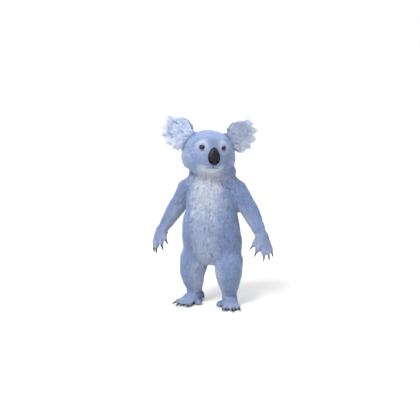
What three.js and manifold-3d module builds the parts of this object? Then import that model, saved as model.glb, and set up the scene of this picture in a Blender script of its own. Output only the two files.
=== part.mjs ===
// A life-size adult koala, standing upright on its hind legs with its arms held out and down and its
// head turned to its left. Millimetres, +Z up. The trunk faces -Y, and the animal's left side is +X.
// The surfaces are the tips of the coat. Each part of the body, claw and eye is a solid of its own.
import * as THREE from "three";
import { mergeVertices } from "three/addons/utils/BufferGeometryUtils.js";
import Module from "manifold-3d";

const wasm = await Module();
wasm.setup();

// ---- Driving dimensions -------------------------------------------------------------------------

const GAP = 0.35; // clearance between two solids that touch
const SOFTNESS = 9; // how widely two masses of flesh melt into each other
const SKULL = { x: 2, y: -24, z: 590 }; // centre of the head
const HEAD_TURN = 29; // degrees, towards the animal's left
const HEAD_LEAN = 3; // degrees, crown towards the animal's left
const HEAD_NOD = 2; // degrees, nose down

const SHOULDER = { out: 76, back: 14, up: 470, buried: 30 };
const UPPER_ARM = { length: 112, out: 35, forward: -6 };
const FOREARM = { length: 114, out: 30, forward: 14 };
const HAND = { out: 18, forward: 18, twist: 40 };

const HIP = { out: 60, back: 26, up: 226 };
const KNEE = { out: 72, back: 0, up: 128 };
const ANKLE = { out: 70, back: 20, up: 46 };
const TOE_OUT = 16; // degrees

const EYE = { radius: 10.2, sink: 7.4, aim: [41, -69, 20] };
const NOSE = { halfWidth: 22, halfHeight: 32, halfDepth: 15, ahead: 97, below: 8, slope: 14 };
const EAR = {
  radius: 54,
  fringe: 18,
  halfThickness: 13,
  cup: 15,
  out: 107,
  back: 13,
  up: 67,
  lean: 6, // degrees, backwards
  sweep: 14, // degrees, the outer edge backwards
};

// ---- Materials ----------------------------------------------------------------------------------

const finish = (color, roughness) => new THREE.MeshStandardMaterial({ color, roughness, metalness: 0 });
const COAT = finish(0x9aa3b2, 0.95);
const PALE_COAT = finish(0xc9ccd1, 0.95);
const NOSE_LEATHER = finish(0x24252b, 0.5);
const EYEBALL = finish(0x3a2718, 0.08);
const HORN = finish(0x1e1a18, 0.4);

// ---- Shaping tools ------------------------------------------------------------------------------

const rad = THREE.MathUtils.degToRad;
const v3 = (x, y, z) => new THREE.Vector3(x, y, z);
const sideName = (side) => (side > 0 ? "left" : "right");

// An egg of flesh: its centre, its three radii and how far it is tipped about X, in degrees.
function mass(x, y, z, rx, ry, rz, tip = 0) {
  return { centre: v3(x, y, z), radii: v3(rx, ry, rz), tip: rad(tip) };
}
const pair = (x, ...rest) => [mass(-x, ...rest), mass(x, ...rest)];

// Signed distance, roughly, from a point to one egg: negative inside.
function distanceTo(egg, point) {
  const local = point.clone().sub(egg.centre).applyAxisAngle(v3(1, 0, 0), -egg.tip);
  const scaled = local.clone().divide(egg.radii);
  const slope = scaled.clone().divide(egg.radii).length();
  const depth = scaled.length();
  return slope > 0 ? (depth * (depth - 1)) / slope : -egg.radii.x;
}

// The same for many eggs that melt into one body.
function distanceToBody(eggs, point, softness) {
  const sum = eggs.reduce((total, egg) => total + Math.exp(-distanceTo(egg, point) / softness), 0);
  return -softness * Math.log(sum);
}

// Draws a closed three.js geometry down on a body of eggs, along rays towards the line from low to high.
const CLOSE_ENOUGH = 0.01;
const MOST_STEPS = 60;
const STEP_SHARE = 0.8; // of the distance left, so that a step never goes through the surface
function wrap(geometry, eggs, { low, high = low, reach, swell = 0, softness = SOFTNESS }) {
  const wrapped = bare(geometry);
  const spots = wrapped.getAttribute("position");
  const line = new THREE.Line3(low, high);
  const foot = v3();
  const point = v3();
  for (let i = 0; i < spots.count; i++) {
    point.fromBufferAttribute(spots, i);
    line.closestPointToPoint(point, true, foot);
    const ray = point.clone().sub(foot).normalize();
    let away = reach;
    for (let step = 0; step < MOST_STEPS; step++) {
      const left = distanceToBody(eggs, foot.clone().addScaledVector(ray, away), softness) - swell;
      away = Math.max(1, away - STEP_SHARE * left);
      if (left < CLOSE_ENOUGH) break;
    }
    point.copy(foot).addScaledVector(ray, away);
    spots.setXYZ(i, point.x, point.y, point.z);
  }
  return wrapped;
}

// A ball of even triangles, or a capsule that stands along a line, ready to be wrapped.
const CORE_RADIUS = 10;
const ball = (detail) => new THREE.IcosahedronGeometry(CORE_RADIUS, detail);
function capsule(low, high, around, along, ends) {
  const shape = new THREE.CapsuleGeometry(CORE_RADIUS, low.distanceTo(high), ends, around, along);
  const turn = new THREE.Quaternion().setFromUnitVectors(v3(0, 1, 0), high.clone().sub(low).normalize());
  const middle = low.clone().add(high).multiplyScalar(0.5);
  return shape.applyQuaternion(turn).translate(middle.x, middle.y, middle.z);
}

// Only the shared positions and the index of a geometry.
function bare(geometry) {
  const copy = geometry.clone();
  for (const name of ["normal", "uv"]) copy.deleteAttribute(name);
  return mergeVertices(copy, 1e-3);
}

// A closed body through rings of points, each a list of the same length, with flat ends.
function loft(rings) {
  const around = rings[0].length;
  const middles = [rings[0], rings.at(-1)].map((ring) =>
    ring.reduce((sum, point) => sum.add(point), v3()).divideScalar(around),
  );
  const points = [...rings.flat(), ...middles];
  const index = [];
  const at = (ring, i) => ring * around + (i % around);
  const last = rings.length - 1;
  for (let i = 0; i < around; i++) {
    for (let ring = 0; ring < last; ring++) {
      index.push(at(ring, i), at(ring, i + 1), at(ring + 1, i));
      index.push(at(ring, i + 1), at(ring + 1, i + 1), at(ring + 1, i));
    }
    index.push(points.length - 2, at(0, i + 1), at(0, i));
    index.push(points.length - 1, at(last, i), at(last, i + 1));
  }
  return new THREE.BufferGeometry().setFromPoints(points).setIndex(index);
}

// Rings along a curve between two shares of its length. section(share) gives the two radii there, and
// acrossAt(share) a direction that the first of them lies along.
function limb(curve, { from = 0, to = 1, steps, around, section, acrossAt }) {
  const rings = [];
  for (let step = 0; step <= steps; step++) {
    const share = from + ((to - from) * step) / steps;
    const centre = curve.getPointAt(share);
    const along = curve.getTangentAt(share);
    const across = acrossAt(share).clone().projectOnPlane(along).normalize();
    const over = along.clone().cross(across);
    const [wide, deep] = section(share);
    rings.push(
      Array.from({ length: around }, (_, i) => {
        const angle = (2 * Math.PI * i) / around;
        return centre
          .clone()
          .addScaledVector(across, wide * Math.cos(angle))
          .addScaledVector(over, deep * Math.sin(angle));
      }),
    );
  }
  return loft(rings);
}

// Straight lines between [share, radius...] stops, smoothed at each stop.
function profile(stops) {
  return (share) => {
    const next = Math.max(1, stops.findIndex((stop) => stop[0] >= share));
    const [a, b] = [stops[next - 1], stops[next]];
    const t = THREE.MathUtils.smoothstep(share, a[0], b[0]);
    return a.slice(1).map((value, i) => value + (b[i + 1] - value) * t);
  };
}

// A three.js geometry as a manifold-3d solid, faces out, and back again.
function solid(geometry) {
  const shape = bare(geometry);
  const vertProperties = new Float32Array(shape.getAttribute("position").array);
  const build = (triVerts) => new wasm.Manifold(new wasm.Mesh({ numProp: 3, vertProperties, triVerts }));
  const triVerts = new Uint32Array(shape.index.array);
  const made = build(triVerts);
  return made.volume() > 0 ? made : build(triVerts.reverse());
}
const without = (body, ...others) => others.reduce((left, other) => left.subtract(other), body);

function node(name, made, material) {
  const { vertProperties, triVerts } = made.getMesh();
  const geometry = new THREE.BufferGeometry();
  geometry.setAttribute("position", new THREE.BufferAttribute(vertProperties, 3));
  geometry.setIndex(new THREE.BufferAttribute(triVerts, 1));
  geometry.computeVertexNormals();
  const mesh = new THREE.Mesh(geometry, material);
  mesh.name = name;
  return mesh;
}

// ---- Trunk and neck -----------------------------------------------------------------------------

const TRUNK_LOW = v3(0, 16, 246);
const TRUNK_HIGH = v3(0, 16, 446);
const TRUNK_SOFTNESS = 13;
const TRUNK_MASSES = [
  mass(0, 15, 410, 94, 85, 104, 4), // rib cage
  mass(0, 0, 308, 110, 98, 108), // belly
  mass(0, 20, 244, 106, 88, 84), // rump
  ...pair(58, 16, 462, 50, 48, 46), // shoulders
  ...pair(58, 22, 230, 52, 60, 60), // hips
  mass(0, 32, 490, 78, 52, 44), // nape
];

function trunkSolid(swell) {
  const frame = capsule(TRUNK_LOW, TRUNK_HIGH, 28, 6, 6);
  const how = { low: TRUNK_LOW, high: TRUNK_HIGH, reach: 260, swell, softness: TRUNK_SOFTNESS };
  return solid(wrap(frame, TRUNK_MASSES, how));
}

const NECK_SECTION = profile([
  [0, 78, 58],
  [0.45, 92, 70],
  [0.8, 84, 68],
  [1, 58, 52],
]);
function neckBody(swell) {
  const high = v3(SKULL.x, SKULL.y + 22, SKULL.z - 8);
  const curve = new THREE.CatmullRomCurve3([v3(0, 26, 456), v3(0, 20, 520), high]);
  const section = (share) => NECK_SECTION(share).map((radius) => radius + swell);
  return solid(limb(curve, { steps: 6, around: 20, section, acrossAt: () => v3(1, 0, 0) }));
}

// ---- Head, in its own frame: origin in the middle of the skull, facing -Y, untilted -------------

const HEAD_MASSES = [
  mass(0, 17, 13, 88, 75, 67), // brain case
  mass(0, -32, 17, 58, 47, 43), // brow
  ...pair(51, 4, -24, 51, 58, 52), // cheeks
  mass(0, -66, -24, 39, 38, 35), // muzzle
  mass(0, -53, -52, 31, 36, 23), // chin
];

const HEAD_REACH = 200; // a ray this long ends outside the head
function headShape(swell) {
  return wrap(ball(6), HEAD_MASSES, { low: v3(), reach: HEAD_REACH, swell });
}

// The point of the head's surface straight out from its centre along a direction.
function onHead(direction) {
  const ray = direction.clone().normalize();
  const hit = wrap(new THREE.BufferGeometry().setFromPoints([ray]), HEAD_MASSES, {
    low: v3(),
    reach: HEAD_REACH,
  });
  return v3().fromBufferAttribute(hit.getAttribute("position"), 0);
}

// An eyeball, its middle sunk a little below the tips of the coat.
function eyeball(side, swell) {
  const [x, y, z] = EYE.aim;
  const surface = onHead(v3(side * x, y, z));
  const centre = surface.multiplyScalar(1 - EYE.sink / surface.length());
  return new THREE.SphereGeometry(EYE.radius + swell, 12, 8).translate(centre.x, centre.y, centre.z);
}

// The bare nose: an upright oval shield, broadest below its middle, with a nostril in each lower side.
function noseShape() {
  const shape = bare(new THREE.SphereGeometry(1, 16, 10));
  const spots = shape.getAttribute("position");
  for (let i = 0; i < spots.count; i++) {
    const [x, y, z] = [spots.getX(i), spots.getY(i), spots.getZ(i)];
    const taper = 1 - 0.16 * z - 0.1 * z * z;
    const nostril = Math.exp(-((Math.abs(x) - 0.62) ** 2 + (z + 0.42) ** 2) / 0.03);
    spots.setXYZ(
      i,
      x * NOSE.halfWidth * taper,
      (y + (y < 0 ? 0.28 * nostril : 0)) * NOSE.halfDepth,
      z * NOSE.halfHeight,
    );
  }
  return shape.rotateX(rad(-NOSE.slope)).translate(0, -NOSE.ahead, -NOSE.below);
}

// One ear: a thick round leaf, hollowed in front, with tufts of long hair round its outer and lower edge.
const EAR_TUFTS = [50, 14, -20, -54, -86]; // degrees round the rim from straight out, up is positive
const TUFT_SPREAD = 11; // degrees
function earShape(side) {
  const shape = bare(new THREE.SphereGeometry(1, 36, 6));
  const spots = shape.getAttribute("position");
  for (let i = 0; i < spots.count; i++) {
    const [x, y, z] = [spots.getX(i), spots.getY(i), spots.getZ(i)];
    const share = Math.hypot(x, z);
    const angle = THREE.MathUtils.radToDeg(Math.atan2(z, x));
    const tuft = Math.max(...EAR_TUFTS.map((at) => Math.exp(-(((angle - at) / TUFT_SPREAD) ** 2))));
    const radius = EAR.radius + share * EAR.fringe * tuft;
    const thickness = EAR.halfThickness * (1 - 0.35 * share);
    spots.setXYZ(i, x * radius, y * thickness + EAR.cup * (1 - share * share), z * radius * 0.96);
  }
  shape.rotateX(rad(-EAR.lean)).rotateZ(rad(EAR.sweep)).translate(EAR.out, EAR.back, EAR.up);
  return shape.scale(side, 1, 1);
}

// ---- Arms ---------------------------------------------------------------------------------------

// The unit vector that swings out and forward from straight down, on one side of the body.
function swing(side, { out, forward }) {
  const [o, f] = [rad(out), rad(forward)];
  return v3(side * Math.sin(o), -Math.sin(f) * Math.cos(o), -Math.cos(o) * Math.cos(f));
}

function armPoints(side) {
  const shoulder = v3(side * SHOULDER.out, SHOULDER.back, SHOULDER.up);
  const elbow = shoulder.clone().addScaledVector(swing(side, UPPER_ARM), UPPER_ARM.length);
  const wrist = elbow.clone().addScaledVector(swing(side, FOREARM), FOREARM.length);
  return { shoulder, elbow, wrist };
}

const ARM_SECTION = profile([
  [0, 20, 26],
  [0.24, 41, 46],
  [0.45, 37, 40],
  [0.66, 34, 36],
  [0.86, 28, 29],
  [1, 23, 22],
]);

const ELBOW_AT = 0.55; // share of the arm's length
const KNEE_AT = 0.56; // share of the leg's length
const SHARE_GAP = 0.002; // share of a limb's length left open at an elbow or a knee
function armLoft(side, from, to) {
  const { shoulder, elbow, wrist } = armPoints(side);
  const start = shoulder.clone().add(v3(-side * SHOULDER.buried, 0, SHOULDER.buried / 2));
  const curve = new THREE.CatmullRomCurve3([start, shoulder, elbow, wrist], false, "centripetal");
  const across = () => v3(side, 0, 0);
  return solid(limb(curve, { from, to, steps: 5, around: 14, section: ARM_SECTION, acrossAt: across }));
}

// A hand's frame: along it, across its back towards the little finger, and out of its back. The palm
// faces the body and backwards.
function handFrame(side) {
  const { wrist } = armPoints(side);
  const along = swing(side, HAND);
  const across = v3(side, 0, 0).projectOnPlane(along).normalize();
  across.applyAxisAngle(along, -side * rad(HAND.twist));
  const back = along.clone().cross(across).multiplyScalar(side);
  return { at: wrist, along, across, back };
}

// The ankle's frame over the floor: forward along the sole, across it towards the outer toe, and up.
function footFrame(side) {
  const turn = rad(TOE_OUT);
  return {
    at: v3(side * ANKLE.out, ANKLE.back, 0),
    along: v3(side * Math.sin(turn), -Math.cos(turn), 0),
    across: v3(side * Math.cos(turn), Math.sin(turn), 0),
    back: v3(0, 0, 1),
  };
}

const inFrame = ({ at, along, across, back }, a, c, b) =>
  at.clone().addScaledVector(along, a).addScaledVector(across, c).addScaledVector(back, b);

// Eggs given along, across and over a hand or foot, as eggs in the body's own frame.
function wrapInFrame(frame, eggs, swell, detail) {
  const shape = wrap(ball(detail), eggs, { low: v3(), reach: 120, swell, softness: 4 });
  const basis = new THREE.Matrix4().makeBasis(frame.along, frame.across, frame.back).setPosition(frame.at);
  return shape.applyMatrix4(basis);
}

// A digit from its root, along a heading that then curls down, and the claw that goes on from it.
// All its numbers are in the frame of its hand or foot.
function digitCurve(frame, { root, heading, length, curl }) {
  const points = [0, 0.5, 1].map((share) => {
    const [a, c, b] = root;
    const drop = curl * length * share * share;
    return inFrame(
      frame,
      a + Math.cos(rad(heading)) * length * share,
      c + Math.sin(rad(heading)) * length * share,
      b - drop,
    );
  });
  return new THREE.CatmullRomCurve3(points);
}

function digitSolid(frame, digit) {
  const section = profile([
    [0, digit.radius * 1.05, digit.radius],
    [0.55, digit.radius, digit.radius * 0.94],
    [0.85, digit.radius * 0.92, digit.radius * 0.86],
    [1, CLAW.halfWidth + 1.1, CLAW.halfDepth + 1.1],
  ]);
  const across = () => frame.across;
  return solid(limb(digitCurve(frame, digit), { steps: 3, around: 7, section, acrossAt: across }));
}

const CLAW = { halfWidth: 2.6, halfDepth: 3.6, tip: 0.45, hook: 0.34, clear: 0.9 };
function clawSolid(frame, digit) {
  const curve = digitCurve(frame, digit);
  const start = curve.getPoint(1);
  const ahead = curve.getTangent(1);
  const down = frame.back.clone().negate().projectOnPlane(ahead).normalize();
  const reach = digit.claw;
  const hook = new THREE.CatmullRomCurve3(
    [0, 0.5, 1].map((share) =>
      start
        .clone()
        .addScaledVector(ahead, CLAW.clear + reach * share * (1 - 0.2 * share))
        .addScaledVector(down, (digit.hook ?? CLAW.hook) * reach * share * share),
    ),
  );
  const size = digit.clawSize ?? 1;
  const section = profile([
    [0, CLAW.halfWidth * size, CLAW.halfDepth * size],
    [0.55, CLAW.halfWidth * 0.72 * size, CLAW.halfDepth * 0.7 * size],
    [1, CLAW.tip, CLAW.tip],
  ]);
  const across = () => frame.across;
  return solid(limb(hook, { steps: 3, around: 5, section, acrossAt: across }));
}

// Along, across (towards the little finger) and over the back, from the wrist.
const PALM_MASSES = [mass(0, 0, 0, 26, 26, 23), mass(26, 0, 0, 28, 27, 18), mass(38, 4, 1, 20, 27, 14)];
const FINGERS = [
  { root: [12, -18, -4], heading: -46, length: 31, curl: 0.26, radius: 10, claw: 22 },
  { root: [28, -17, -2], heading: -26, length: 33, curl: 0.2, radius: 10.2, claw: 24 },
  { root: [42, -5, 1], heading: -3, length: 34, curl: 0.14, radius: 10.8, claw: 26 },
  { root: [42, 9, 1], heading: 7, length: 35, curl: 0.14, radius: 10.8, claw: 26 },
  { root: [36, 20, 0], heading: 18, length: 32, curl: 0.17, radius: 10.2, claw: 24 },
];

const palm = (side, swell) => solid(wrapInFrame(handFrame(side), PALM_MASSES, swell, 2));

function handSolid(side) {
  const frame = handFrame(side);
  return FINGERS.reduce((hand, finger) => hand.add(digitSolid(frame, finger)), palm(side, 0));
}

// ---- Legs ---------------------------------------------------------------------------------------

const LEG_SECTION = profile([
  [0, 46, 60],
  [0.25, 58, 70],
  [0.5, 54, 62],
  [0.7, 45, 50],
  [0.88, 37, 40],
  [1, 31, 33],
]);

function legLoft(side, from, to) {
  const points = [HIP, KNEE, ANKLE].map(({ out, back, up }) => v3(side * out, back, up));
  const curve = new THREE.CatmullRomCurve3(points, false, "centripetal");
  const across = () => v3(side, 0, 0);
  return solid(limb(curve, { from, to, steps: 5, around: 14, section: LEG_SECTION, acrossAt: across }));
}

// Along the sole from below the ankle, across it towards the outer toe, and up from the floor.
const SOLE_MASSES = [
  mass(-20, 0, 18, 27, 24, 20), // heel
  mass(0, 0, 34, 30, 28, 24), // ankle
  mass(22, 1, 22, 36, 29, 23), // instep
  mass(44, 2, 14, 26, 33, 16), // ball
];
const TOES = [
  { root: [52, -17, 11], heading: -14, length: 30, curl: 0.04, radius: 8.6, claw: 15, clawSize: 0.8 },
  { root: [52, -10, 13], heading: -7, length: 34, curl: 0.06, radius: 8.6, claw: 15, clawSize: 0.8 },
  { root: [54, 8, 13], heading: 4, length: 38, curl: 0.03, radius: 12, claw: 22 },
  { root: [46, 22, 12], heading: 20, length: 36, curl: 0.02, radius: 11.4, claw: 21 },
];
const TOE_NAMES = ["inner_grooming", "outer_grooming", "fourth", "fifth"];
const BIG_TOE = { root: [22, -20, 11], heading: -66, length: 32, curl: 0.02, radius: 11.6 };

const sole = (side, swell) => solid(wrapInFrame(footFrame(side), SOLE_MASSES, swell, 3));
const FLOOR = solid(new THREE.BoxGeometry(1000, 1000, 200).translate(0, 0, -100));

function footSolid(side) {
  const frame = footFrame(side);
  const toes = [...TOES, BIG_TOE].map((toe) => digitSolid(frame, toe));
  return without(toes.reduce((foot, toe) => foot.add(toe), sole(side, 0)), FLOOR);
}

// ---- Assembly -----------------------------------------------------------------------------------

const koala = new THREE.Group();

const head = new THREE.Group();
head.position.set(SKULL.x, SKULL.y, SKULL.z);
head.rotation.set(rad(HEAD_NOD), rad(HEAD_LEAN), rad(HEAD_TURN), "ZYX");
head.updateMatrixWorld(true);
koala.add(head);

const skull = without(solid(headShape(0)), solid(eyeball(-1, GAP)), solid(eyeball(1, GAP)));
const aroundSkull = solid(headShape(GAP));
head.add(node("head", skull, COAT));
head.add(node("nose", without(solid(noseShape()), aroundSkull), NOSE_LEATHER));
for (const side of [-1, 1]) {
  head.add(node(`${sideName(side)}_ear`, without(solid(earShape(side)), aroundSkull), COAT));
  head.add(node(`${sideName(side)}_eye`, solid(eyeball(side, 0)), EYEBALL));
}

const aroundTrunk = trunkSolid(GAP);
const aroundNeck = neckBody(GAP);
const placedSkull = aroundSkull.transform(head.matrixWorld.elements);
koala.add(node("trunk", without(trunkSolid(0), placedSkull), COAT));
koala.add(node("neck", without(neckBody(0), placedSkull, aroundTrunk), COAT));

for (const side of [-1, 1]) {
  const name = (part) => `${sideName(side)}_${part}`;
  const upperArm = armLoft(side, 0, ELBOW_AT - SHARE_GAP);
  koala.add(node(name("upper_arm"), without(upperArm, aroundTrunk, aroundNeck), COAT));
  koala.add(node(name("forearm"), without(armLoft(side, ELBOW_AT, 1), palm(side, GAP)), COAT));
  koala.add(node(name("hand"), handSolid(side), COAT));
  FINGERS.forEach((finger, i) => {
    koala.add(node(name(`hand_claw_${i + 1}`), clawSolid(handFrame(side), finger), HORN));
  });

  koala.add(node(name("thigh"), without(legLoft(side, 0, KNEE_AT - SHARE_GAP), aroundTrunk), COAT));
  koala.add(node(name("shank"), without(legLoft(side, KNEE_AT, 1), sole(side, GAP)), COAT));
  koala.add(node(name("foot"), footSolid(side), PALE_COAT));
  TOES.forEach((toe, i) => {
    koala.add(node(name(`${TOE_NAMES[i]}_claw`), clawSolid(footFrame(side), toe), HORN));
  });
}

// The origin lies on the floor, in the middle of the model's footprint.
const middle = new THREE.Box3().setFromObject(koala, true).getCenter(v3()).setZ(0);
for (const part of koala.children) part.position.sub(middle);

export default koala;
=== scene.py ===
"""Dresses the solids of a life-size koala with skin, a coat of tufts, eyes, nose, lips and claws."""

import math
from collections import namedtuple
from itertools import product

import bmesh
import bpy
import numpy as np
from bpy.props import FloatProperty, FloatVectorProperty, IntProperty, PointerProperty
from mathutils import Matrix, Vector
from mathutils.bvhtree import BVHTree
from mathutils.kdtree import KDTree


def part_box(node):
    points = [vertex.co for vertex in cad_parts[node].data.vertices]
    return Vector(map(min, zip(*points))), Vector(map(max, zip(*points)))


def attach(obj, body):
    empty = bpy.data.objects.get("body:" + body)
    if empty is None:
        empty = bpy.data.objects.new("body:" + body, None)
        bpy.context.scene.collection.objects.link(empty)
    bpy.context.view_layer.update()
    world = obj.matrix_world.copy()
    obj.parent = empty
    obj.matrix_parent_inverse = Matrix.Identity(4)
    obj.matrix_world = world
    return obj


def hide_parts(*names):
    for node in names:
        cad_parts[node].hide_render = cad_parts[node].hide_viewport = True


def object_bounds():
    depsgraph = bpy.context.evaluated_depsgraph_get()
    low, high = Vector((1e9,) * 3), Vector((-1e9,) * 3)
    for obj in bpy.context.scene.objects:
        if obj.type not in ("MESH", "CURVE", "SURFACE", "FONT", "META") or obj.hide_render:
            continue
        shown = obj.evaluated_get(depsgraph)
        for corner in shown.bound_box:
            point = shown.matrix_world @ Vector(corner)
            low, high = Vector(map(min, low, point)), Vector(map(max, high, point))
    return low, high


bl_info = {
    "name": "Koala",
    "version": (1, 0, 0),
    "blender": (4, 5, 0),
    "location": "3D View > Sidebar > Koala",
    "description": "Dresses the solids of a life-size koala in skin, coat, eyes, nose and claws",
    "category": "Object",
}

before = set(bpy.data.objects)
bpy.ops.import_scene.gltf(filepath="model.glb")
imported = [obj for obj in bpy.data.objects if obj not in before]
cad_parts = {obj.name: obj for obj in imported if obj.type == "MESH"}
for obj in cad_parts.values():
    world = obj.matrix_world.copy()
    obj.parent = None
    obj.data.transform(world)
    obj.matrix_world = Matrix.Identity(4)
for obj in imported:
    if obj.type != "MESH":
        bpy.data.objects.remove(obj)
CAD_BOX = [list(corner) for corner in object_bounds()]

MM = 0.001
SIDES = {"left": 1, "right": -1}  # the animal's own sides, and which way each lies along X
LIMBS = ("upper_arm", "forearm", "hand", "thigh", "shank", "foot")
FLESH = ["head", "neck", "trunk"] + [f"{side}_{part}" for side in SIDES for part in ("ear", *LIMBS)]
CLAWS = {
    "hand": [f"hand_claw_{number}" for number in range(1, 6)],
    "foot": ["inner_grooming_claw", "outer_grooming_claw", "fourth_claw", "fifth_claw"],
}


def srgb(red, green, blue):
    """A screen colour, 0 to 255, as the linear colour that a shader reads."""
    return tuple(((value / 255 + 0.055) / 1.055) ** 2.4 for value in (red, green, blue))


# ---- Sizes and colours that a user would change ---------------------------------------------------


def number_property(name, description, default, **limits):
    return FloatProperty(name=name, description=description, default=default, **limits)


def angle_property(name, description, degrees):
    return number_property(name, description, math.radians(degrees), unit="ROTATION")


def colour_property(name, description, *levels):
    default = srgb(*levels)
    return FloatVectorProperty(
        name=name, description=description, default=default, size=3, subtype="COLOR", min=0, max=1
    )


class KoalaCoat(bpy.types.PropertyGroup):
    """Length and colours of the coat"""

    fullness: number_property(
        "Fullness", "Share of the full number of tufts that is grown", 1, min=0.05, max=1
    )
    grey: colour_property("Grey", "Back, flanks, limbs and crown", 134, 154, 194)
    dark: colour_property("Dark", "Bridge of the nose, rims of the eyes and upper back", 82, 92, 115)
    pale: colour_property("Pale", "Belly, inner limbs, hands and feet", 171, 184, 213)
    white: colour_property("White", "Throat, chest, chin and ear fringe", 206, 213, 229)
    seed: IntProperty(name="Seed", description="Start of the random draws", default=7)


class KoalaFace(bpy.types.PropertyGroup):
    """Sizes and colours of the bare parts of the head"""

    lid_thickness: number_property(
        "Lid thickness", "Thickness of an eyelid's rim", 1.1 * MM, unit="LENGTH", min=0, precision=4
    )
    iris: colour_property("Iris", "Brown ring round the pupil", 56, 34, 20)
    leather: colour_property("Leather", "Nose, lips and lids", 20, 21, 28)
    horn: colour_property("Horn", "Claws", 30, 27, 28)
    pad: colour_property("Pads", "Bare skin of palms and soles", 84, 74, 78)


class KoalaStudio(bpy.types.PropertyGroup):
    """Camera, light and floor"""

    azimuth: angle_property("Azimuth", "Where the camera stands round the model", 18)
    elevation: angle_property("Elevation", "How high the camera stands", 9)
    angle: angle_property("Field of view", "Angle across the view", 38)
    filled: number_property("Height filled", "Share of the view's height that the model fills", 0.455)
    key: number_property("Key light", "Strength of the main light, as a sun's", 3.6)
    floor: number_property("Floor", "How pale the floor is", 0.66, min=0, max=1)


# ---- Where the head is ----------------------------------------------------------------------------

HEAD_TURN, HEAD_LEAN, HEAD_NOD = (
    Matrix.Rotation(math.radians(angle), 3, axis) for angle, axis in ((29, "Z"), (3, "Y"), (2, "X"))
)
HEAD_AXES = HEAD_TURN @ HEAD_LEAN @ HEAD_NOD
HEAD_ROWS = np.array(HEAD_AXES)
EYES_OUT, EYES_AHEAD, EYES_UP = 37.1 * MM, 62.4 * MM, 18.1 * MM  # of the skull's centre
NOSE_AHEAD, NOSE_DOWN = 97 * MM, 8 * MM
EAR_OUT, EAR_BACK, EAR_UP, EAR_RADIUS = 107 * MM, 13 * MM, 67 * MM, 54 * MM


def middle(side, part):
    """The middle of a node's box."""
    low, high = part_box(f"{side}_{part}")
    return (Vector(low) + Vector(high)) / 2


BETWEEN_EYES = (middle("left", "eye") + middle("right", "eye")) / 2
SKULL = BETWEEN_EYES - HEAD_AXES @ Vector((0, -EYES_AHEAD, EYES_UP))


def from_head(*place):
    """A place in the model, given in the head's axes: left, back and up from the skull's centre."""
    return SKULL + HEAD_AXES @ Vector(place)


def in_head(points):
    """Points of the model, one a row, in the head's axes."""
    return (points - np.array(SKULL)) @ HEAD_ROWS


# ---- Numbers on meshes ----------------------------------------------------------------------------


def unit(vectors):
    lengths = np.linalg.norm(vectors, axis=-1, keepdims=True)
    return vectors / np.maximum(lengths, 1e-12)


def ramp(values, start, end):
    """0 up to start, 1 from end on, and smooth between. End may be below start."""
    share = np.clip((values - start) / (end - start), 0, 1)
    return share * share * (3 - 2 * share)


def bell(distance, width):
    return np.exp(-((distance / width) ** 2))


def dot(a, b):
    return np.einsum("ij,ij->i", a, np.broadcast_to(b, a.shape))


def ripple(points, scale, seed, waves=7):
    """A smooth random value at each point, mostly from -1 to 1, with features about scale across."""
    rng = np.random.default_rng(seed)
    ways = unit(rng.normal(size=(waves, 3))) * (2 * np.pi / scale) * rng.uniform(0.7, 1.5, (waves, 1))
    return np.sin(points @ ways.T + rng.uniform(0, 2 * np.pi, waves)).sum(axis=1) / math.sqrt(waves)


def read(items, field, width, kind=np.float32):
    """A field of each of a mesh's items: a row of numbers, or one number, for each."""
    flat = np.empty(len(items) * width, kind)
    items.foreach_get(field, flat)
    flat = flat.astype(int if kind is np.int32 else float)
    return flat.reshape(-1, width) if width > 1 else flat


def points_of(mesh):
    return read(mesh.vertices, "co", 3)


def normals_of(mesh):
    return read(mesh.vertex_normals, "vector", 3)


def move_to(mesh, points):
    mesh.vertices.foreach_set("co", np.ascontiguousarray(points, np.float32).ravel())
    mesh.update()


def smoothed(values, edges, rounds, share=0.5):
    """Values at a mesh's vertices, moved towards the mean of their neighbours again and again."""
    columns = values.reshape(len(values), -1).T.copy()
    ends = np.concatenate([edges[:, 0], edges[:, 1]])
    others = np.concatenate([edges[:, 1], edges[:, 0]])
    count = np.maximum(np.bincount(ends, minlength=len(values)), 1)
    for _ in range(rounds):
        for column in columns:
            near = np.bincount(ends, weights=column[others], minlength=len(values)) / count
            column += share * (near - column)
    return columns.T.reshape(values.shape)


def evened(points, edges, rounds):
    """Points smoothed without shrinking the form: each step in is followed by one as long back out."""
    for _ in range(rounds):
        points = smoothed(smoothed(points, edges, 1, 0.5), edges, 1, -0.52)
    return points


# Of each kind of attribute: the name of its values, how many numbers one has, and their type.
ATTRIBUTES = {
    "FLOAT": ("value", 1, np.float32),
    "INT": ("value", 1, np.int32),
    "FLOAT_VECTOR": ("vector", 3, np.float32),
    "FLOAT_COLOR": ("color", 4, np.float32),
}


def paint(mesh, name, kind, values):
    """Stores values on a mesh's vertices as a named attribute."""
    layer = mesh.attributes.new(name, kind, "POINT")
    layer.data.foreach_set(ATTRIBUTES[kind][0], np.ascontiguousarray(values).ravel())


def painted(mesh, name):
    """The values that paint stored."""
    layer = mesh.attributes[name]
    return read(layer.data, *ATTRIBUTES[layer.data_type])


# ---- Objects and materials ------------------------------------------------------------------------


def linked(name, data):
    """A new object in the scene."""
    thing = bpy.data.objects.new(name, data)
    bpy.context.scene.collection.objects.link(thing)
    return thing


def mesh_of(name, bm):
    """A new mesh in place of a finished bmesh."""
    mesh = bpy.data.meshes.new(name)
    bm.to_mesh(mesh)
    bm.free()
    return mesh


def place(name, mesh, made, slot, replaces=()):
    """Puts a finished mesh in the scene as a piece that rides on the model."""
    piece = linked(name, mesh)
    mesh.materials.clear()
    mesh.materials.append(made)
    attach(piece, "root")
    if replaces:
        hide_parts(*replaces)


def place_bmesh(name, bm, made, slot, replaces=()):
    for face in bm.faces:
        face.smooth = True
    place(name, mesh_of(name, bm), made, slot, replaces)


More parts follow.
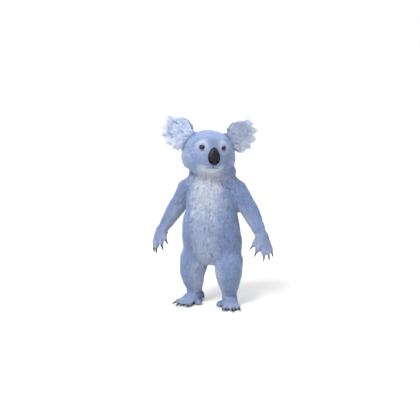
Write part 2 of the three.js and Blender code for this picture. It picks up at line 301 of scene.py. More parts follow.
SOCKETS = {
    "roughness": "Roughness",
    "specular": "Specular IOR Level",
    "sheen": "Sheen Weight",
    "sheen_roughness": "Sheen Roughness",
    "coat": "Coat Weight",
    "coat_roughness": "Coat Roughness",
}


class Finish:
    """A material with a Principled shader, and short ways to add nodes to it."""

    def __init__(self, name, colour, **numbers):
        self.material = bpy.data.materials.new(name)
        self.material.use_nodes = True
        self.tree = self.material.node_tree
        self.shader = self.tree.nodes["Principled BSDF"]
        self.shader.inputs["Base Color"].default_value = (*colour, 1)
        for key, value in numbers.items():
            self.shader.inputs[SOCKETS[key]].default_value = value

    def node(self, kind, settings=(), **inputs):
        """A new node, with its settings, and with its inputs fed by their names."""
        made = self.tree.nodes.new("ShaderNode" + kind)
        for key, value in dict(settings).items():
            setattr(made, key, value)
        for key, value in inputs.items():
            self.feed(made.inputs[key], value)
        return made

    def feed(self, socket, value):
        if isinstance(value, bpy.types.NodeSocket):
            self.tree.links.new(value, socket)
        else:
            socket.default_value = (*value, 1) if isinstance(value, tuple) else value

    def spot(self):
        return self.node("TexCoord").outputs["Object"]

    def attribute(self, name, output="Fac"):
        return self.node("Attribute", {"attribute_name": name}).outputs[output]

    def noise(self, scale, detail=3, roughness=0.6, at=None):
        inputs = {"Vector": at or self.spot(), "Scale": scale, "Detail": detail, "Roughness": roughness}
        return self.node("TexNoise", **inputs).outputs["Fac"]

    def cells(self, scale):
        """Distance from the nearest of many scattered spots: pebbles and grooves."""
        made = self.node("TexVoronoi", {"feature": "SMOOTH_F1"}, Vector=self.spot(), Scale=scale)
        return made.outputs["Distance"]

    def math(self, operation, a, b=0.0):
        made = self.node("Math", {"operation": operation})
        self.feed(made.inputs[0], a)
        self.feed(made.inputs[1], b)
        return made.outputs[0]

    def times(self, a, b):
        return self.math("MULTIPLY", a, b)

    def squares(self, a, b):
        """The sum of two values' squares."""
        return self.math("ADD", self.times(a, a), self.times(b, b))

    def span(self, value, low, high, to_low=0.0, to_high=1.0):
        """A value carried smoothly from one range to another."""
        ranges = {"From Min": low, "From Max": high, "To Min": to_low, "To Max": to_high}
        made = self.node("MapRange", {"interpolation_type": "SMOOTHSTEP"}, Value=value, **ranges)
        return made.outputs["Result"]

    def mix(self, share, a, b, blend="MIX"):
        made = self.node("Mix", {"data_type": "RGBA", "blend_type": blend}, Factor=share)
        self.feed(made.inputs[6], a)
        self.feed(made.inputs[7], b)
        return made.outputs[2]

    def shaded(self, attribute, shade):
        """A colour painted on the mesh, times a shade."""
        return self.mix(1.0, self.attribute(attribute, "Color"), shade, "MULTIPLY")

    def bump(self, height, strength, distance):
        made = self.node("Bump", Height=height, Strength=strength, Distance=distance)
        self.tree.links.new(made.outputs["Normal"], self.shader.inputs["Normal"])

    def use(self, colour, roughness=None):
        self.tree.links.new(colour, self.shader.inputs["Base Color"])
        if roughness is not None:
            self.tree.links.new(roughness, self.shader.inputs["Roughness"])
        return self.material


def toned(colour, share, more=0.0):
    return tuple(min(1.0, value * share + more) for value in colour)


COAT_GREY = srgb(150, 160, 186)  # where a viewer doesn't show the painted colours


def coat_finish():
    """Hair: its colour is painted on the tufts, and varies finely over them."""
    finish = Finish(
        "coat", COAT_GREY, roughness=0.78, specular=0.25, sheen=0.25, sheen_roughness=0.5
    )
    fine = finish.span(finish.noise(1400, 2), 0.35, 0.65, 0.9, 1.08)
    broad = finish.span(finish.noise(60, 3), 0.3, 0.7, 0.95, 1.05)
    return finish.use(finish.shaded("hair", finish.times(fine, broad)))


def skin_finish():
    """Skin: dull, darkened under the coat as painted shade, paler and pebbled where it is bare."""
    finish = Finish("skin", COAT_GREY, roughness=0.7, specular=0.3)
    bare = finish.attribute("bare")
    grain = finish.noise(900, 4)
    pebbles = finish.times(finish.span(finish.cells(640.0), 0.1, 0.62), bare)
    mottle = finish.span(grain, 0.3, 0.7, 0.86, 1.1)
    # painted shade: skin under the coat is darkened so the gaps between tufts look deep
    shade = finish.times(mottle, finish.span(bare, 0.0, 1.0, 0.74, 1.12))
    # painted shade: bare skin is darker in the grooves between its pebbles
    shade = finish.times(shade, finish.span(pebbles, 0.0, 1.0, 1.0, 0.62))
    colour = finish.shaded("hue", shade)
    finish.bump(finish.math("SUBTRACT", finish.times(grain, 0.3), pebbles), 0.8, 0.9 * MM)
    return finish.use(colour)


def leather_finish(name, pebble, gloss):
    """Bare, pebbled, slightly moist skin, with painted shade in the grooves between pebbles."""
    colour = tuple(bpy.context.scene.koala_face.leather)
    finish = Finish(name, colour, roughness=gloss, specular=0.2, coat=0.03, coat_roughness=0.35)
    pebble_grooves = finish.cells(pebble)
    mottle = finish.noise(160, 4)
    tone = finish.mix(finish.span(mottle, 0.45, 0.8), colour, toned(colour, 1.45, 0.002))
    # painted shade: darker in the grooves round each pebble's top
    tone = finish.mix(finish.span(pebble_grooves, 0.15, 0.55, 0.0, 0.8), tone, toned(colour, 0.4))
    finish.bump(finish.math("SUBTRACT", mottle, pebble_grooves), 0.8, 0.5 * MM)
    return finish.use(tone, finish.span(finish.noise(240, 3), 0.3, 0.7, gloss - 0.08, gloss + 0.14))


def horn_finish(colour):
    """A claw: dark, with fine lengthwise streaks, paler and greyer at its root."""
    finish = Finish("horn", colour, roughness=0.36, specular=0.26, coat=0.06, coat_roughness=0.2)
    along = finish.attribute("along")
    streaks = finish.noise(700, 5)
    tone = finish.mix(finish.span(along, 0.15, 0.75), toned(colour, 1.5, 0.002), colour)
    tone = finish.mix(finish.span(streaks, 0.5, 0.8, 0.0, 0.6), tone, toned(colour, 0.4))
    finish.bump(streaks, 0.3, 0.2 * MM)
    return finish.use(tone, finish.span(streaks, 0.3, 0.7, 0.22, 0.42))


# Of an eye's map, on which 0.5 is a right angle from the middle of the pupil.
PUPIL_HALF_WIDTH, PUPIL_HALF_HEIGHT = 0.066, 0.15
IRIS_RADIUS, IRIS_RIM = 0.235, 0.262


def eye_finish(iris):
    """A wet eyeball: an upright slit pupil in a streaked iris, with a dark rim and ball round it."""
    finish = Finish("eye", iris, roughness=0.05, specular=0.2, coat=0.1, coat_roughness=0.02)
    parts = finish.node("SeparateXYZ", Vector=finish.node("UVMap", {"uv_map": "gaze"}).outputs["UV"])
    across, up = (finish.math("SUBTRACT", parts.outputs[axis], 0.5) for axis in ("X", "Y"))
    away = finish.math("SQRT", finish.squares(across, up))
    turn = finish.math("ARCTAN2", up, across)
    spokes_at = finish.node("CombineXYZ", X=finish.times(turn, 5.0), Y=finish.times(away, 9.0))
    spokes = finish.noise(3.0, 5, 0.7, spokes_at.outputs[0])
    tone = finish.mix(finish.span(spokes, 0.35, 0.7), iris, toned(iris, 1.9, 0.01))
    tone = finish.mix(finish.span(away, 0.12, IRIS_RADIUS), tone, toned(iris, 0.16))
    tone = finish.mix(finish.span(away, IRIS_RADIUS, IRIS_RIM), tone, srgb(30, 20, 16))
    slit_x = finish.math("DIVIDE", across, PUPIL_HALF_WIDTH)
    slit_y = finish.math("DIVIDE", up, PUPIL_HALF_HEIGHT)
    off_pupil = finish.span(finish.squares(slit_x, slit_y), 0.85, 1.15)
    return finish.use(finish.mix(off_pupil, (0.002,) * 3, tone))


# ---- Skin -----------------------------------------------------------------------------------------

MOUTH_HALF, MOUTH_UP, MOUTH_DROP, MOUTH_CORNERS_UP = 27 * MM, -50 * MM, 4.5 * MM, 2 * MM


def mouth_line(across):
    """Height of the mouth in the head's axes at places from -1 to 1 across it."""
    return MOUTH_UP - MOUTH_DROP * (1 - np.cos(across * np.pi / 2)) + MOUTH_CORNERS_UP * across**2


def lips_distance(head):
    """Distances from the mouth's line, in millimetres, of points in the head's axes."""
    across = np.clip(head[:, 0] / MOUTH_HALF, -1, 1)
    beside = head[:, 0] - across * MOUTH_HALF
    behind = np.maximum(head[:, 1] + 60 * MM, 0)
    return np.linalg.norm([beside, behind, head[:, 2] - mouth_line(across)], axis=0) / MM


# Of each part of the body: how deep the skin lies under the tips of its coat, the length and width of
# a tuft, how steeply it leaves the skin, in degrees, and how far apart tufts stand, in millimetres.
Hair = namedtuple("Hair", "depth length width lift spacing")
HAIR = {
    "head": Hair(7, 12, 0.75, 25, 1.3),
    "neck": Hair(11, 21, 0.9, 28, 1.6),
    "trunk": Hair(11, 21, 0.95, 27, 1.6),
    "ear": Hair(5, 14, 0.8, 25, 1.1),
    "upper_arm": Hair(9, 17, 0.9, 27, 1.55),
    "forearm": Hair(7, 14, 0.85, 26, 1.45),
    "hand": Hair(2.6, 8, 0.65, 19, 1.15),
    "thigh": Hair(10, 18, 0.95, 27, 1.6),
    "shank": Hair(8, 15, 0.9, 26, 1.5),
    "foot": Hair(2.6, 8.5, 0.65, 19, 1.2),
}
KINDS = np.array([name.removeprefix("left_").removeprefix("right_") for name in FLESH])
SWELL = 0.6 * MM  # closes the clearance between two solids
VOXEL = 3.15 * MM  # size of the skin's faces


def flesh():
    """The solids of flesh in one bmesh, swollen so that neighbours meet, with each face's part.

    The eyes fill their sockets as part of the head, so that the skin runs over them."""
    bm = bmesh.new()
    part = bm.faces.layers.int.new("part")
    for name in [*FLESH, "left_eye", "right_eye"]:
        number = FLESH.index("head" if name.endswith("eye") else name)
        before = len(bm.faces)
        bm.from_mesh(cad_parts[name].data)
        bm.faces.ensure_lookup_table()
        for face in bm.faces[before:]:
            face[part] = number
    bmesh.ops.remove_doubles(bm, verts=bm.verts, dist=0.01 * MM)
    bm.normal_update()
    for vert in bm.verts:
        vert.co += vert.normal * SWELL
    bm.faces.ensure_lookup_table()
    return bm, part


def remeshed(bm):
    """One closed even mesh round all of a bmesh."""
    mesh = mesh_of("flesh", bm.copy())
    thing = linked("flesh", mesh)
    remesh = thing.modifiers.new("Remesh", "REMESH")
    remesh.mode = "VOXEL"
    remesh.voxel_size = VOXEL
    bpy.context.view_layer.update()
    made = bpy.data.meshes.new_from_object(thing.evaluated_get(bpy.context.evaluated_depsgraph_get()))
    bpy.data.objects.remove(thing)
    bpy.data.meshes.remove(mesh)
    return made


def limb_axes(side, end):
    """A hand's or foot's axes: along it, across it to the outer digit, and out of its palm or sole."""
    spots = [middle(side, claw) for claw in CLAWS[end]]
    along = (spots[-2] - middle(side, "forearm" if end == "hand" else "foot")).normalized()
    across = spots[-1] - spots[0]
    across = (across - across.project(along)).normalized()
    return along, across, across.cross(along).normalized() * SIDES[side]


def distances(points, spot):
    """How far points are from a spot, in millimetres."""
    return np.linalg.norm(points - np.array(spot), axis=1) / MM


def ear_place(head):
    """Out and up from the middle of the near ear, as shares of its radius, of points in the head's axes."""
    return (np.abs(head[:, 0]) - EAR_OUT) / EAR_RADIUS, (head[:, 2] - EAR_UP) / EAR_RADIUS


class Body:
    """What the coat needs to know at each vertex of the skin."""

    def __init__(self, mesh, parts):
        self.points = points_of(mesh)
        self.normals = normals_of(mesh)
        self.edges = read(mesh.edges, "vertices", 2, np.int32)
        self.parts = parts
        self.kinds = KINDS[parts]
        self.head = in_head(self.points)
        self.on_head = self.is_kind("head")

    def is_kind(self, *kinds):
        return np.isin(self.kinds, kinds)

    def is_part(self, side, part):
        return self.parts == FLESH.index(f"{side}_{part}")

    def smooth(self, values, rounds):
        return smoothed(values, self.edges, rounds)

    def eye_distance(self):
        return np.min([distances(self.points, middle(side, "eye")) for side in SIDES], axis=0)

    def ear_draw(self):
        """How far an ear's skin is drawn in towards the ear's middle, to leave room for its fringe."""
        out, up = ear_place(self.head)
        away = unit(np.column_stack([out * np.sign(self.head[:, 0]), np.zeros(len(out)), up]))
        pull = self.smooth(self.is_kind("ear") * ramp(np.hypot(out, up), 0.4, 1.15), 4)
        return away @ HEAD_ROWS.T * pull[:, None]

    def hair(self, field):
        """A number of the coat's table at each vertex, changing gradually from part to part."""
        values = np.array([getattr(HAIR[kind], field) for kind in KINDS], float)
        return self.smooth(values[self.parts], 38)

    def bareness(self):
        """1 on palms, soles and the undersides of digits, 0 where the coat grows."""
        bare = np.zeros(len(self.points))
        for side in SIDES:
            hand = self.is_part(side, "hand")
            reach = distances(self.points[hand], middle(side, "forearm"))
            facing = dot(self.normals[hand], limb_axes(side, "hand")[2])
            bare[hand] = ramp(facing, 0.1, 0.45) * ramp(reach, 62, 76)
        feet = self.is_kind("foot")
        low = ramp(self.points[feet, 2], 16 * MM, 9 * MM)
        bare[feet] = ramp(-self.normals[feet, 2], 0.2, 0.55) * low
        return bare

    def toe_share(self):
        """0 up a limb, growing from its wrist or ankle to 1 at the claws."""
        share = np.zeros(len(self.points))
        for side in SIDES:
            for end, before, reach in (("hand", "forearm", 95), ("foot", "shank", 75)):
                limb = self.is_part(side, end) | self.is_part(side, before)
                away = np.min([distances(self.points, middle(side, claw)) for claw in CLAWS[end]], axis=0)
                share = np.where(limb, ramp(away, reach, 18), share)
        return share

    def joints(self):
        """1 where limbs, neck and trunk meet, and the flesh runs broadly from one to the next."""
        z = self.points[:, 2] / MM
        hips = self.is_kind("thigh", "trunk") * bell(z - 215, 45)
        nape = self.is_kind("neck", "trunk", "upper_arm") * ramp(z, 400, 450)
        ankles = self.is_kind("shank", "foot") * bell(z - 52, 15)
        return np.max([hips, nape, ankles, self.wrists(), self.on_head * bell(z - 515, 30)], axis=0)

    def wrists(self):
        """1 at the wrists, falling to 0 about 25 mm from them."""
        share = np.zeros(len(self.points))
        for side in SIDES:
            arm, hand = (np.array(middle(side, part)) for part in ("forearm", "hand"))
            past = (self.points - arm) @ unit(hand - arm) / MM
            on_arm = self.is_part(side, "forearm")
            near = bell(past - past[on_arm].max() + 6, 15)
            share = np.maximum(share, (on_arm | self.is_part(side, "hand")) * near)
        return share

    def length_share(self):
        """How the coat's length differs from its part's usual length."""
        share = 1 + 0.12 * ripple(self.points, 70 * MM, 11)
        x, y, z = (self.head / MM).T
        nose = from_head(0, -NOSE_AHEAD, -NOSE_DOWN)
        face = 0.42 + 0.58 * ramp(distances(self.points, nose), 44, 106)
        cheek = ramp(np.abs(x), 46, 84) * ramp(z, 24, -14) * ramp(y, -62, -20)
        crown = ramp(z, 30, 62)
        head = face * (1 + 0.8 * cheek - 0.1 * crown) * (1 + 0.35 * ramp(y, 0, 50))
        head *= 0.66 + 0.34 * ramp(self.eye_distance(), 11, 34)
        head *= 1 - 0.5 * bell(lips_distance(self.head), 8)
        share = np.where(self.on_head, head, share)
        z = self.points[:, 2] / MM
        share = np.where(self.is_kind("shank"), share * (0.66 + 0.34 * ramp(z, 55, 110)), share)
        share = np.where(self.is_kind("forearm"), share * (1 - 0.34 * np.sqrt(self.wrists())), share)
        rump = ramp(self.points[:, 2], 0.33, 0.22) * ramp(self.points[:, 1], 0.0, 0.08)
        chest = ramp(-self.normals[:, 1], 0.2, 0.9)
        return np.where(self.is_kind("trunk"), share * (1 + 0.15 * rump + 0.1 * chest), share)

    def flow(self):
        """The lie of the coat: which way hair points along the body."""
        flow = np.tile([0.0, 0.02, -1.0], (len(self.points), 1))
        outward = unit(self.points * [1, 1, 0] - [0, 0.01, 0])
        trunk = self.is_kind("trunk", "neck")
        flow[trunk] += 0.18 * outward[trunk]
        for side in SIDES:
            for part, towards in (("upper_arm", "forearm"), ("forearm", "hand")):
                way = middle(side, towards) - middle(side, "upper_arm")
                flow[self.is_part(side, part)] = way.normalized()
            for end in CLAWS:
                flow[self.is_part(side, end)] = limb_axes(side, end)[0]
        flow[self.is_kind("thigh", "shank")] = unit(np.array([0, 0.12, -1.0]))
        flow = np.where(self.on_head[:, None], self.head_flow(), flow)
        flow = np.where(self.is_kind("ear")[:, None], self.ear_flow(), flow)
        swirl = 0.22 * np.stack([ripple(self.points, 55 * MM, seed) for seed in (21, 22, 23)], axis=1)
        swirl[self.is_kind("hand", "foot")] *= 0.3
        swirl[self.on_head] *= 0.5
        return unit(self.smooth(flow + swirl, 9))

    def head_flow(self):
        """Away from the nose and the eyes, back over the crown, back and down over the cheeks."""
        nose = np.array([0, -NOSE_AHEAD - 12 * MM, -NOSE_DOWN])
        away = unit(self.head - nose)
        low = ramp(self.head[:, 2] / MM, 20, -40)[:, None]
        behind = ramp(self.head[:, 1] / MM, -8, 52)[:, None]
        away = unit(away + low * [0, 0.1, -0.45] + [0, 0.35, 0])
        away = unit(away + behind * [0, 0.2, -1.7])
        for sign in SIDES.values():
            eye = np.array([sign * EYES_OUT, -EYES_AHEAD, EYES_UP])
            apart = self.head - eye
            near = bell(np.linalg.norm(apart, axis=1) / MM, 17)[:, None]
            away = unit(away + 1.5 * near * unit(apart))
        return away @ HEAD_ROWS.T

    def ear_flow(self):
        """Out from an ear's root, over both of its faces to its rim, and a little down."""
        root = np.array([EAR_OUT - 1.1 * EAR_RADIUS, EAR_BACK, EAR_UP - 0.3 * EAR_RADIUS])
        mirror = np.where(self.head[:, :1] < 0, [-1, 1, 1], 1)
        out = unit(self.head * mirror - root) + [0.0, -0.12, -0.1]
        return unit(out * mirror) @ HEAD_ROWS.T


def palm_pads(body):
    """Height of the cushions on the palms, in mm: under the heel, the knuckles and the fingertips."""
    height = np.zeros(len(body.points))
    for side in SIDES:
        along, _, palm = (np.array(axis) for axis in limb_axes(side, "hand"))
        hand = np.array(middle(side, "hand"))
        facing = body.is_part(side, "hand") * ramp(dot(body.normals, palm), 0.2, 0.7)
        pads = [(hand - along * 16 * MM, 13, 1.8)]
        for claw in CLAWS["hand"]:
            tip = np.array(middle(side, claw))
            pads += [(hand + (tip - hand) * 0.4, 6.5, 3.2), (hand + (tip - hand) * 0.74, 5.5, 2.6)]
        for spot, width, rise in pads:
            apart = body.points - spot
            apart = apart - np.outer(apart @ palm, palm)
            height = np.maximum(height, facing * rise * bell(distances(apart, 0), width))
    return height


def paint_markings(body, coat, face, bare, pads):
    """The colour of skin and coat at each vertex."""
    grey, dark, pale, white = map(np.array, (coat.grey, coat.dark, coat.pale, coat.white))
    hue = np.tile(grey, (len(body.points), 1))

    def blend(colour, share):
        hue[:] = hue + (np.array(colour) - hue) * np.clip(share, 0, 1)[:, None]

    x, y, z = (body.points / MM).T
    front = -body.normals[:, 1]
    patchy = ripple(body.points, 38 * MM, 31)
    blend(dark, 0.16 * ramp(body.normals[:, 1], 0.1, 0.8) * ramp(z, 200, 420))
    blend(grey * 1.12, 0.5 + 0.5 * ripple(body.points, 120 * MM, 33))

    trunk = body.is_kind("trunk", "neck")
    fleck = ripple(body.points, 13 * MM, 32)
    half_width = 58 + 11 * patchy + 5 * fleck - 14 * ramp(z, 420, 300)
    bib = ramp(np.abs(x) - half_width, 22, -18) * ramp(front, 0.0, 0.45)
    blend(pale, trunk * bib * ramp(z, 640, 560))
    blend(white, trunk * bib * ramp(z + 14 * patchy, 330, 450) * ramp(np.abs(x) - half_width, 2, -34))
    rump = ramp(z, 320, 240) * ramp(y, 20, 80)
    blend(pale, body.is_kind("trunk", "thigh") * 0.55 * rump * ramp(patchy + 0.6 * fleck, -0.4, 1.1))

    inward = -np.sign(x) * body.normals[:, 0]
    arms = body.is_kind("upper_arm", "forearm")
    legs = body.is_kind("thigh", "shank")
    blend(pale, arms * ramp(inward + 0.35 * front + 0.12 * patchy, 0.15, 0.8) * 0.9)
    blend(pale, legs * ramp(inward + 0.2 * front + 0.12 * patchy, 0.1, 0.75) * 0.9)
    blend(pale, body.toe_share() * 0.7)

    hx, hy, hz = (body.head / MM).T
    on_head, from_eye = body.on_head, body.eye_distance()
    beard = ramp(hz - 0.004 * hx**2, -40, -56) * ramp(np.abs(hx), 56, 30) * ramp(hy, 40, 0)
    blend(white, on_head * beard)
    blend(pale, on_head * 0.7 * bell(from_eye - 15, 10))
    blend(white, on_head * 0.5 * bell(from_eye - 16, 8) * ramp(hz, 6, 34))
    bridge = bell(hx / 22, 1) * bell((hz - 34) / 26, 1) * ramp(hy, -50, -66)
    blend(dark, on_head * 0.35 * bridge)
    blend(dark, on_head * 0.55 * bell(from_eye - 8, 4.5))
    cheeks = ramp(np.abs(hx), 50, 84) * ramp(hz, 14, -20)
    blend(pale, on_head * 0.45 * cheeks)

    out, up = ear_place(body.head)
    rim = ramp(np.hypot(out, up), 0.5, 0.8)
    ears = body.is_kind("ear")
    hollow = ears * ramp(-(body.normals @ HEAD_ROWS)[:, 1], 0.0, 0.6)
    blend(pale, hollow * 0.85)
    blend(white, hollow * 0.5 * ramp(fleck + 0.6 * patchy, -0.7, 0.7))
    blend(white, ears * rim * 0.8 * ramp(out - 0.6 * up, -0.2, 0.6))

    palms = ramp(bare, 0.08, 0.5)
    # painted shade: darker low round and between the pads, where the skin dips; paler pad tops
    crease_shade = bell(pads - 0.55, 0.5) * body.is_kind("hand")
    blend(toned(face.pad, 0.8), palms)
    blend(toned(face.pad, 0.42), palms * 0.8 * crease_shade)
    blend(toned(face.pad, 1.45), palms * ramp(pads + 0.3 * fleck, 0.9, 2.2))
    return hue


# The face's soft forms, in mm: how far out and up their middle is, how far they spread, and their rise.
FaceForm = namedtuple("FaceForm", "out up width height rise")
FACE_FORMS = {
    "brow": FaceForm(36, 35, 14, 7, 1.6),
    "dip beside the nose": FaceForm(27, -8, 7, 20, -2.4),
    "lip pouch": FaceForm(24, -34, 13, 11, 2.2),
    "chin": FaceForm(0, -66, 18, 9, 1.6),
}
MOUTH_GROOVE, PHILTRUM_GROOVE = 2.0, 1.4  # how deep they are, in millimetres


def carve_face(mesh):
    """Gives the face its forms, the lips' grooves and the eyes' surrounds."""
    points = points_of(mesh)
    head = in_head(points)
    x, y, z = (head / MM).T
    out = np.abs(x)
    height = np.zeros(len(x))
    for form in FACE_FORMS.values():
        height += form.rise * (bell(out - form.out, form.width) * bell(z - form.up, form.height))
    height -= MOUTH_GROOVE * bell(lips_distance(head), 2.2)
    height -= PHILTRUM_GROOVE * (bell(out, 1.6) * ramp(z, -52, -48) * ramp(z, -30, -38))
    points += normals_of(mesh) * (height * ramp(y, -30, -55) * MM)[:, None]
    for side in SIDES:
        wrap_eye(points, side)
    move_to(mesh, points)


LID_HALF_WIDTH, LID_HALF_HEIGHT = 0.8, 0.65  # of the opening, as shares of the eye's radius
LID_COVER = 1.1  # the lids cover the skin's edge and the coat's this far out, as a share of their rim


def lid_share(x, y):
    """How far out a place before an eye is: 1 on the lids' rim. x and y are shares of the eye's radius."""
    flat = np.maximum(np.hypot(x, y), 1e-9)
    corner = 1 + 0.1 * np.abs(x / flat) ** 8  # the opening runs out to a point at each end
    return np.hypot(x / LID_HALF_WIDTH, y / LID_HALF_HEIGHT) / corner


def wrap_eye(points, side):
    """Draws the skin up over an eyeball to the rim of its lids, and down behind it inside the rim."""
    axes = np.array(eye_axes(side, LIDS_FACE))
    radius = eye_radius(side)
    local = (points - np.array(middle(side, "eye"))) @ axes
    flat = np.hypot(local[:, 0], local[:, 1])
    close = (flat < 2.2 * radius) & (local[:, 2] > -0.6 * radius)
    ball = np.sqrt(np.maximum(radius**2 - flat**2, 0))
    out = lid_share(local[:, 0] / radius, local[:, 1] / radius)
    over = np.maximum(local[:, 2], ball + 0.7 * MM * ramp(flat / radius, 1.15, 0.85))
    under = np.minimum(local[:, 2], ball - (0.8 + 3 * np.maximum(LID_COVER - out, 0)) * MM)
    height = np.where(out < LID_COVER, under, over)
    points[close] += np.outer((height - local[:, 2])[close], axes[:, 2])


def refine_face(mesh):
    """Divides the skin's faces round the muzzle and the eyes, which hold the finest forms."""
    bm = bmesh.new()
    bm.from_mesh(mesh)

    def refine(verts):
        edges = [edge for edge in bm.edges if edge.verts[0] in verts and edge.verts[1] in verts]
        bmesh.ops.subdivide_edges(bm, edges=edges, cuts=1, use_grid_fill=True)

    x, y, z = (in_head(points_of(mesh)) / MM).T
    muzzle = (y < -48) & (np.abs(x) < 54) & (z > -84) & (z < 44)
    refine({vert for vert in bm.verts if muzzle[vert.index]})
    eyes = [middle(side, "eye") for side in SIDES]
    reach = 1.5 * eye_radius("left")
    refine({vert for vert in bm.verts if min((vert.co - eye).length for eye in eyes) < reach})
    bm.to_mesh(mesh)
    bm.free()


# Rounds of smoothing: to keep fine forms, to round the flesh, and to blend its joints after that.
KEPT, SOFT, BROAD = 5, 16, 38
SHORT_COAT_DEPTH = 0.35  # share of the skin's depth that is left where the coat is shortest
EAR_DEPTH, EAR_DRAW = 2, 10 * MM  # how deep an ear's skin lies, in mm, and how far it is drawn in
SOLE_LIFT = 0.2 * MM  # the least height of the skin over the ground
CREASE_DEPTH = 0.8  # how much lower bare skin lies between its pads, in millimetres


def sink_skin(body):
    """Rounds the flesh, most of all at its joints, and lowers its surface by the depth of the coat."""
    kept = evened(body.points, body.edges, KEPT)
    soft = body.smooth(body.points, SOFT)
    broad = body.smooth(soft, BROAD)
    fine = body.is_kind("hand", "foot", "ear")
    share = body.smooth(np.where(fine, 0.0, np.where(body.on_head, 0.6, 1.0)), 8)[:, None]
    joints = body.smooth(body.joints(), 13)[:, None]
    points = kept + (soft + (broad - soft) * joints - kept) * np.maximum(share, joints)
    lengths = body.smooth(body.length_share(), 6)
    depth = body.hair("depth") * (SHORT_COAT_DEPTH + (1 - SHORT_COAT_DEPTH) * lengths)
    depth = np.where(body.is_kind("ear"), EAR_DEPTH, depth)
    depth = body.smooth(depth * (1 - body.smooth(body.bareness(), 2)), 4)
    points -= body.smooth(body.normals, 2) * (depth * MM)[:, None] + EAR_DRAW * body.ear_draw()
    points[:, 2] = np.maximum(points[:, 2], 0)
    body.points = evened(points, body.edges, 2)


def nearest_parts(mesh, bm, part):
    """The part of the body that is nearest to each vertex of the skin."""
    tree = BVHTree.FromBMesh(bm)
    return np.array([bm.faces[tree.find_nearest(vert.co)[2]][part] for vert in mesh.vertices])


class KOALA_OT_skin(bpy.types.Operator):
    """Make one skin in place of the solids of flesh, as deep as the coat is long"""

    bl_idname = "koala.skin"
    bl_label = "Skin"

    def execute(self, context):
        bm, part = flesh()
        mesh = remeshed(bm)
        body = Body(mesh, nearest_parts(mesh, bm, part))
        sink_skin(body)
        move_to(mesh, body.points)
        refine_face(mesh)
        carve_face(mesh)

        body = Body(mesh, nearest_parts(mesh, bm, part))
        bm.free()
        bare = body.smooth(body.bareness(), 2)
        pads = palm_pads(body) * bare
        body.points += body.normals * ((pads - CREASE_DEPTH * bare) * MM)[:, None]
        body.points[:, 2] = np.maximum(body.points[:, 2], SOLE_LIFT)
        move_to(mesh, body.points)
        coat, face = context.scene.koala_coat, context.scene.koala_face
        hue = body.smooth(paint_markings(body, coat, face, bare, pads), 2)
        paint(mesh, "hue", "FLOAT_COLOR", np.column_stack([hue, np.ones(len(hue))]))
        paint(mesh, "bare", "FLOAT", bare)
        paint(mesh, "part", "INT", body.parts.astype(np.int32))
        paint(mesh, "flow", "FLOAT_VECTOR", body.flow())
        paint(mesh, "length", "FLOAT", body.hair("length") * body.smooth(body.length_share(), 5))
        for field in ("width", "lift", "spacing"):
            paint(mesh, field, "FLOAT", body.hair(field))
        mesh.shade_smooth()
        place("skin", mesh, skin_finish(), "coat", FLESH)
        return {"FINISHED"}


# ---- Eyes -----------------------------------------------------------------------------------------

# Which way the left eye looks, and its lids face, in the head's axes.
GAZE = Vector((0.44, -0.89, 0.07))
LIDS_FACE = Vector((0.56, -0.81, 0.15))
CORNEA_RISE, CORNEA_RADIUS = 0.04, 0.55  # shares of the eye's radius


def eye_radius(side):
    low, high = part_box(f"{side}_eye")
    return (high[0] - low[0]) / 2


def eye_axes(side, ahead):
    """Axes whose +Z looks out of an eye and whose +Y is up."""
    out = HEAD_AXES @ Vector((ahead.x * SIDES[side], ahead.y, ahead.z)).normalized()
    up = HEAD_AXES @ Vector((0, 0, 1))
    across = up.cross(out).normalized()
    return Matrix((across, out.cross(across), out)).transposed()


def place_eye_form(name, bm, side, ahead, finish, slot, replaces=()):
    """Turns a form that looks along +Z the eye's way, and places it at the eye."""
    bmesh.ops.transform(bm, matrix=eye_axes(side, ahead).to_4x4(), verts=bm.verts)
    bmesh.ops.translate(bm, vec=middle(side, "eye"), verts=bm.verts)
    place_bmesh(f"{side}_{name}", bm, finish, slot, replaces)


def eyeball(side, finish):
    """A ball with a raised cornea. Its map has the pupil in the middle, and angles from it as lengths."""
    radius = eye_radius(side)
    bm = bmesh.new()
    bmesh.ops.create_uvsphere(bm, u_segments=64, v_segments=40, radius=radius)
    gaze = bm.loops.layers.uv.new("gaze")
    for face in bm.faces:
        for loop in face.loops:
            out = loop.vert.co.normalized()
            around = Vector((out.x, out.y))
            angle = math.acos(max(-1, min(1, out.z))) / math.pi
            if around.length > 0:
                around = around.normalized() * min(angle, 0.5)
            loop[gaze].uv = (0.5 + around.x, 0.5 + around.y)
    for vert in bm.verts:
        cornea = math.exp(-(((vert.co.xy.length / radius) / CORNEA_RADIUS) ** 2)) * (vert.co.z > 0)
        vert.co *= 1 + CORNEA_RISE * cornea
    place_eye_form("eyeball", bm, side, GAZE, finish, "eyeball", [f"{side}_eye"])


LID_REACH = 1.02  # how far from the eye's middle a lid lies, as a share of the eye's radius
# A lid's section: degrees beyond its rim, and height over that as a share of its thickness.
LID_FRONT = [(0, -0.4), (0, 0.2), (1, 0.5), (3.5, 0.75), (9, 0.7), (13, 0.35)]
LID_BACK = [(17, -0.6), (18, -2), (16, -4), (7, -2.4)]
SPUN_AT = math.radians(40)  # from the eye's axis to the rim, before it is drawn to the opening's shape
HOOD = 0.6 * MM  # how much the upper lid stands out more than the lower


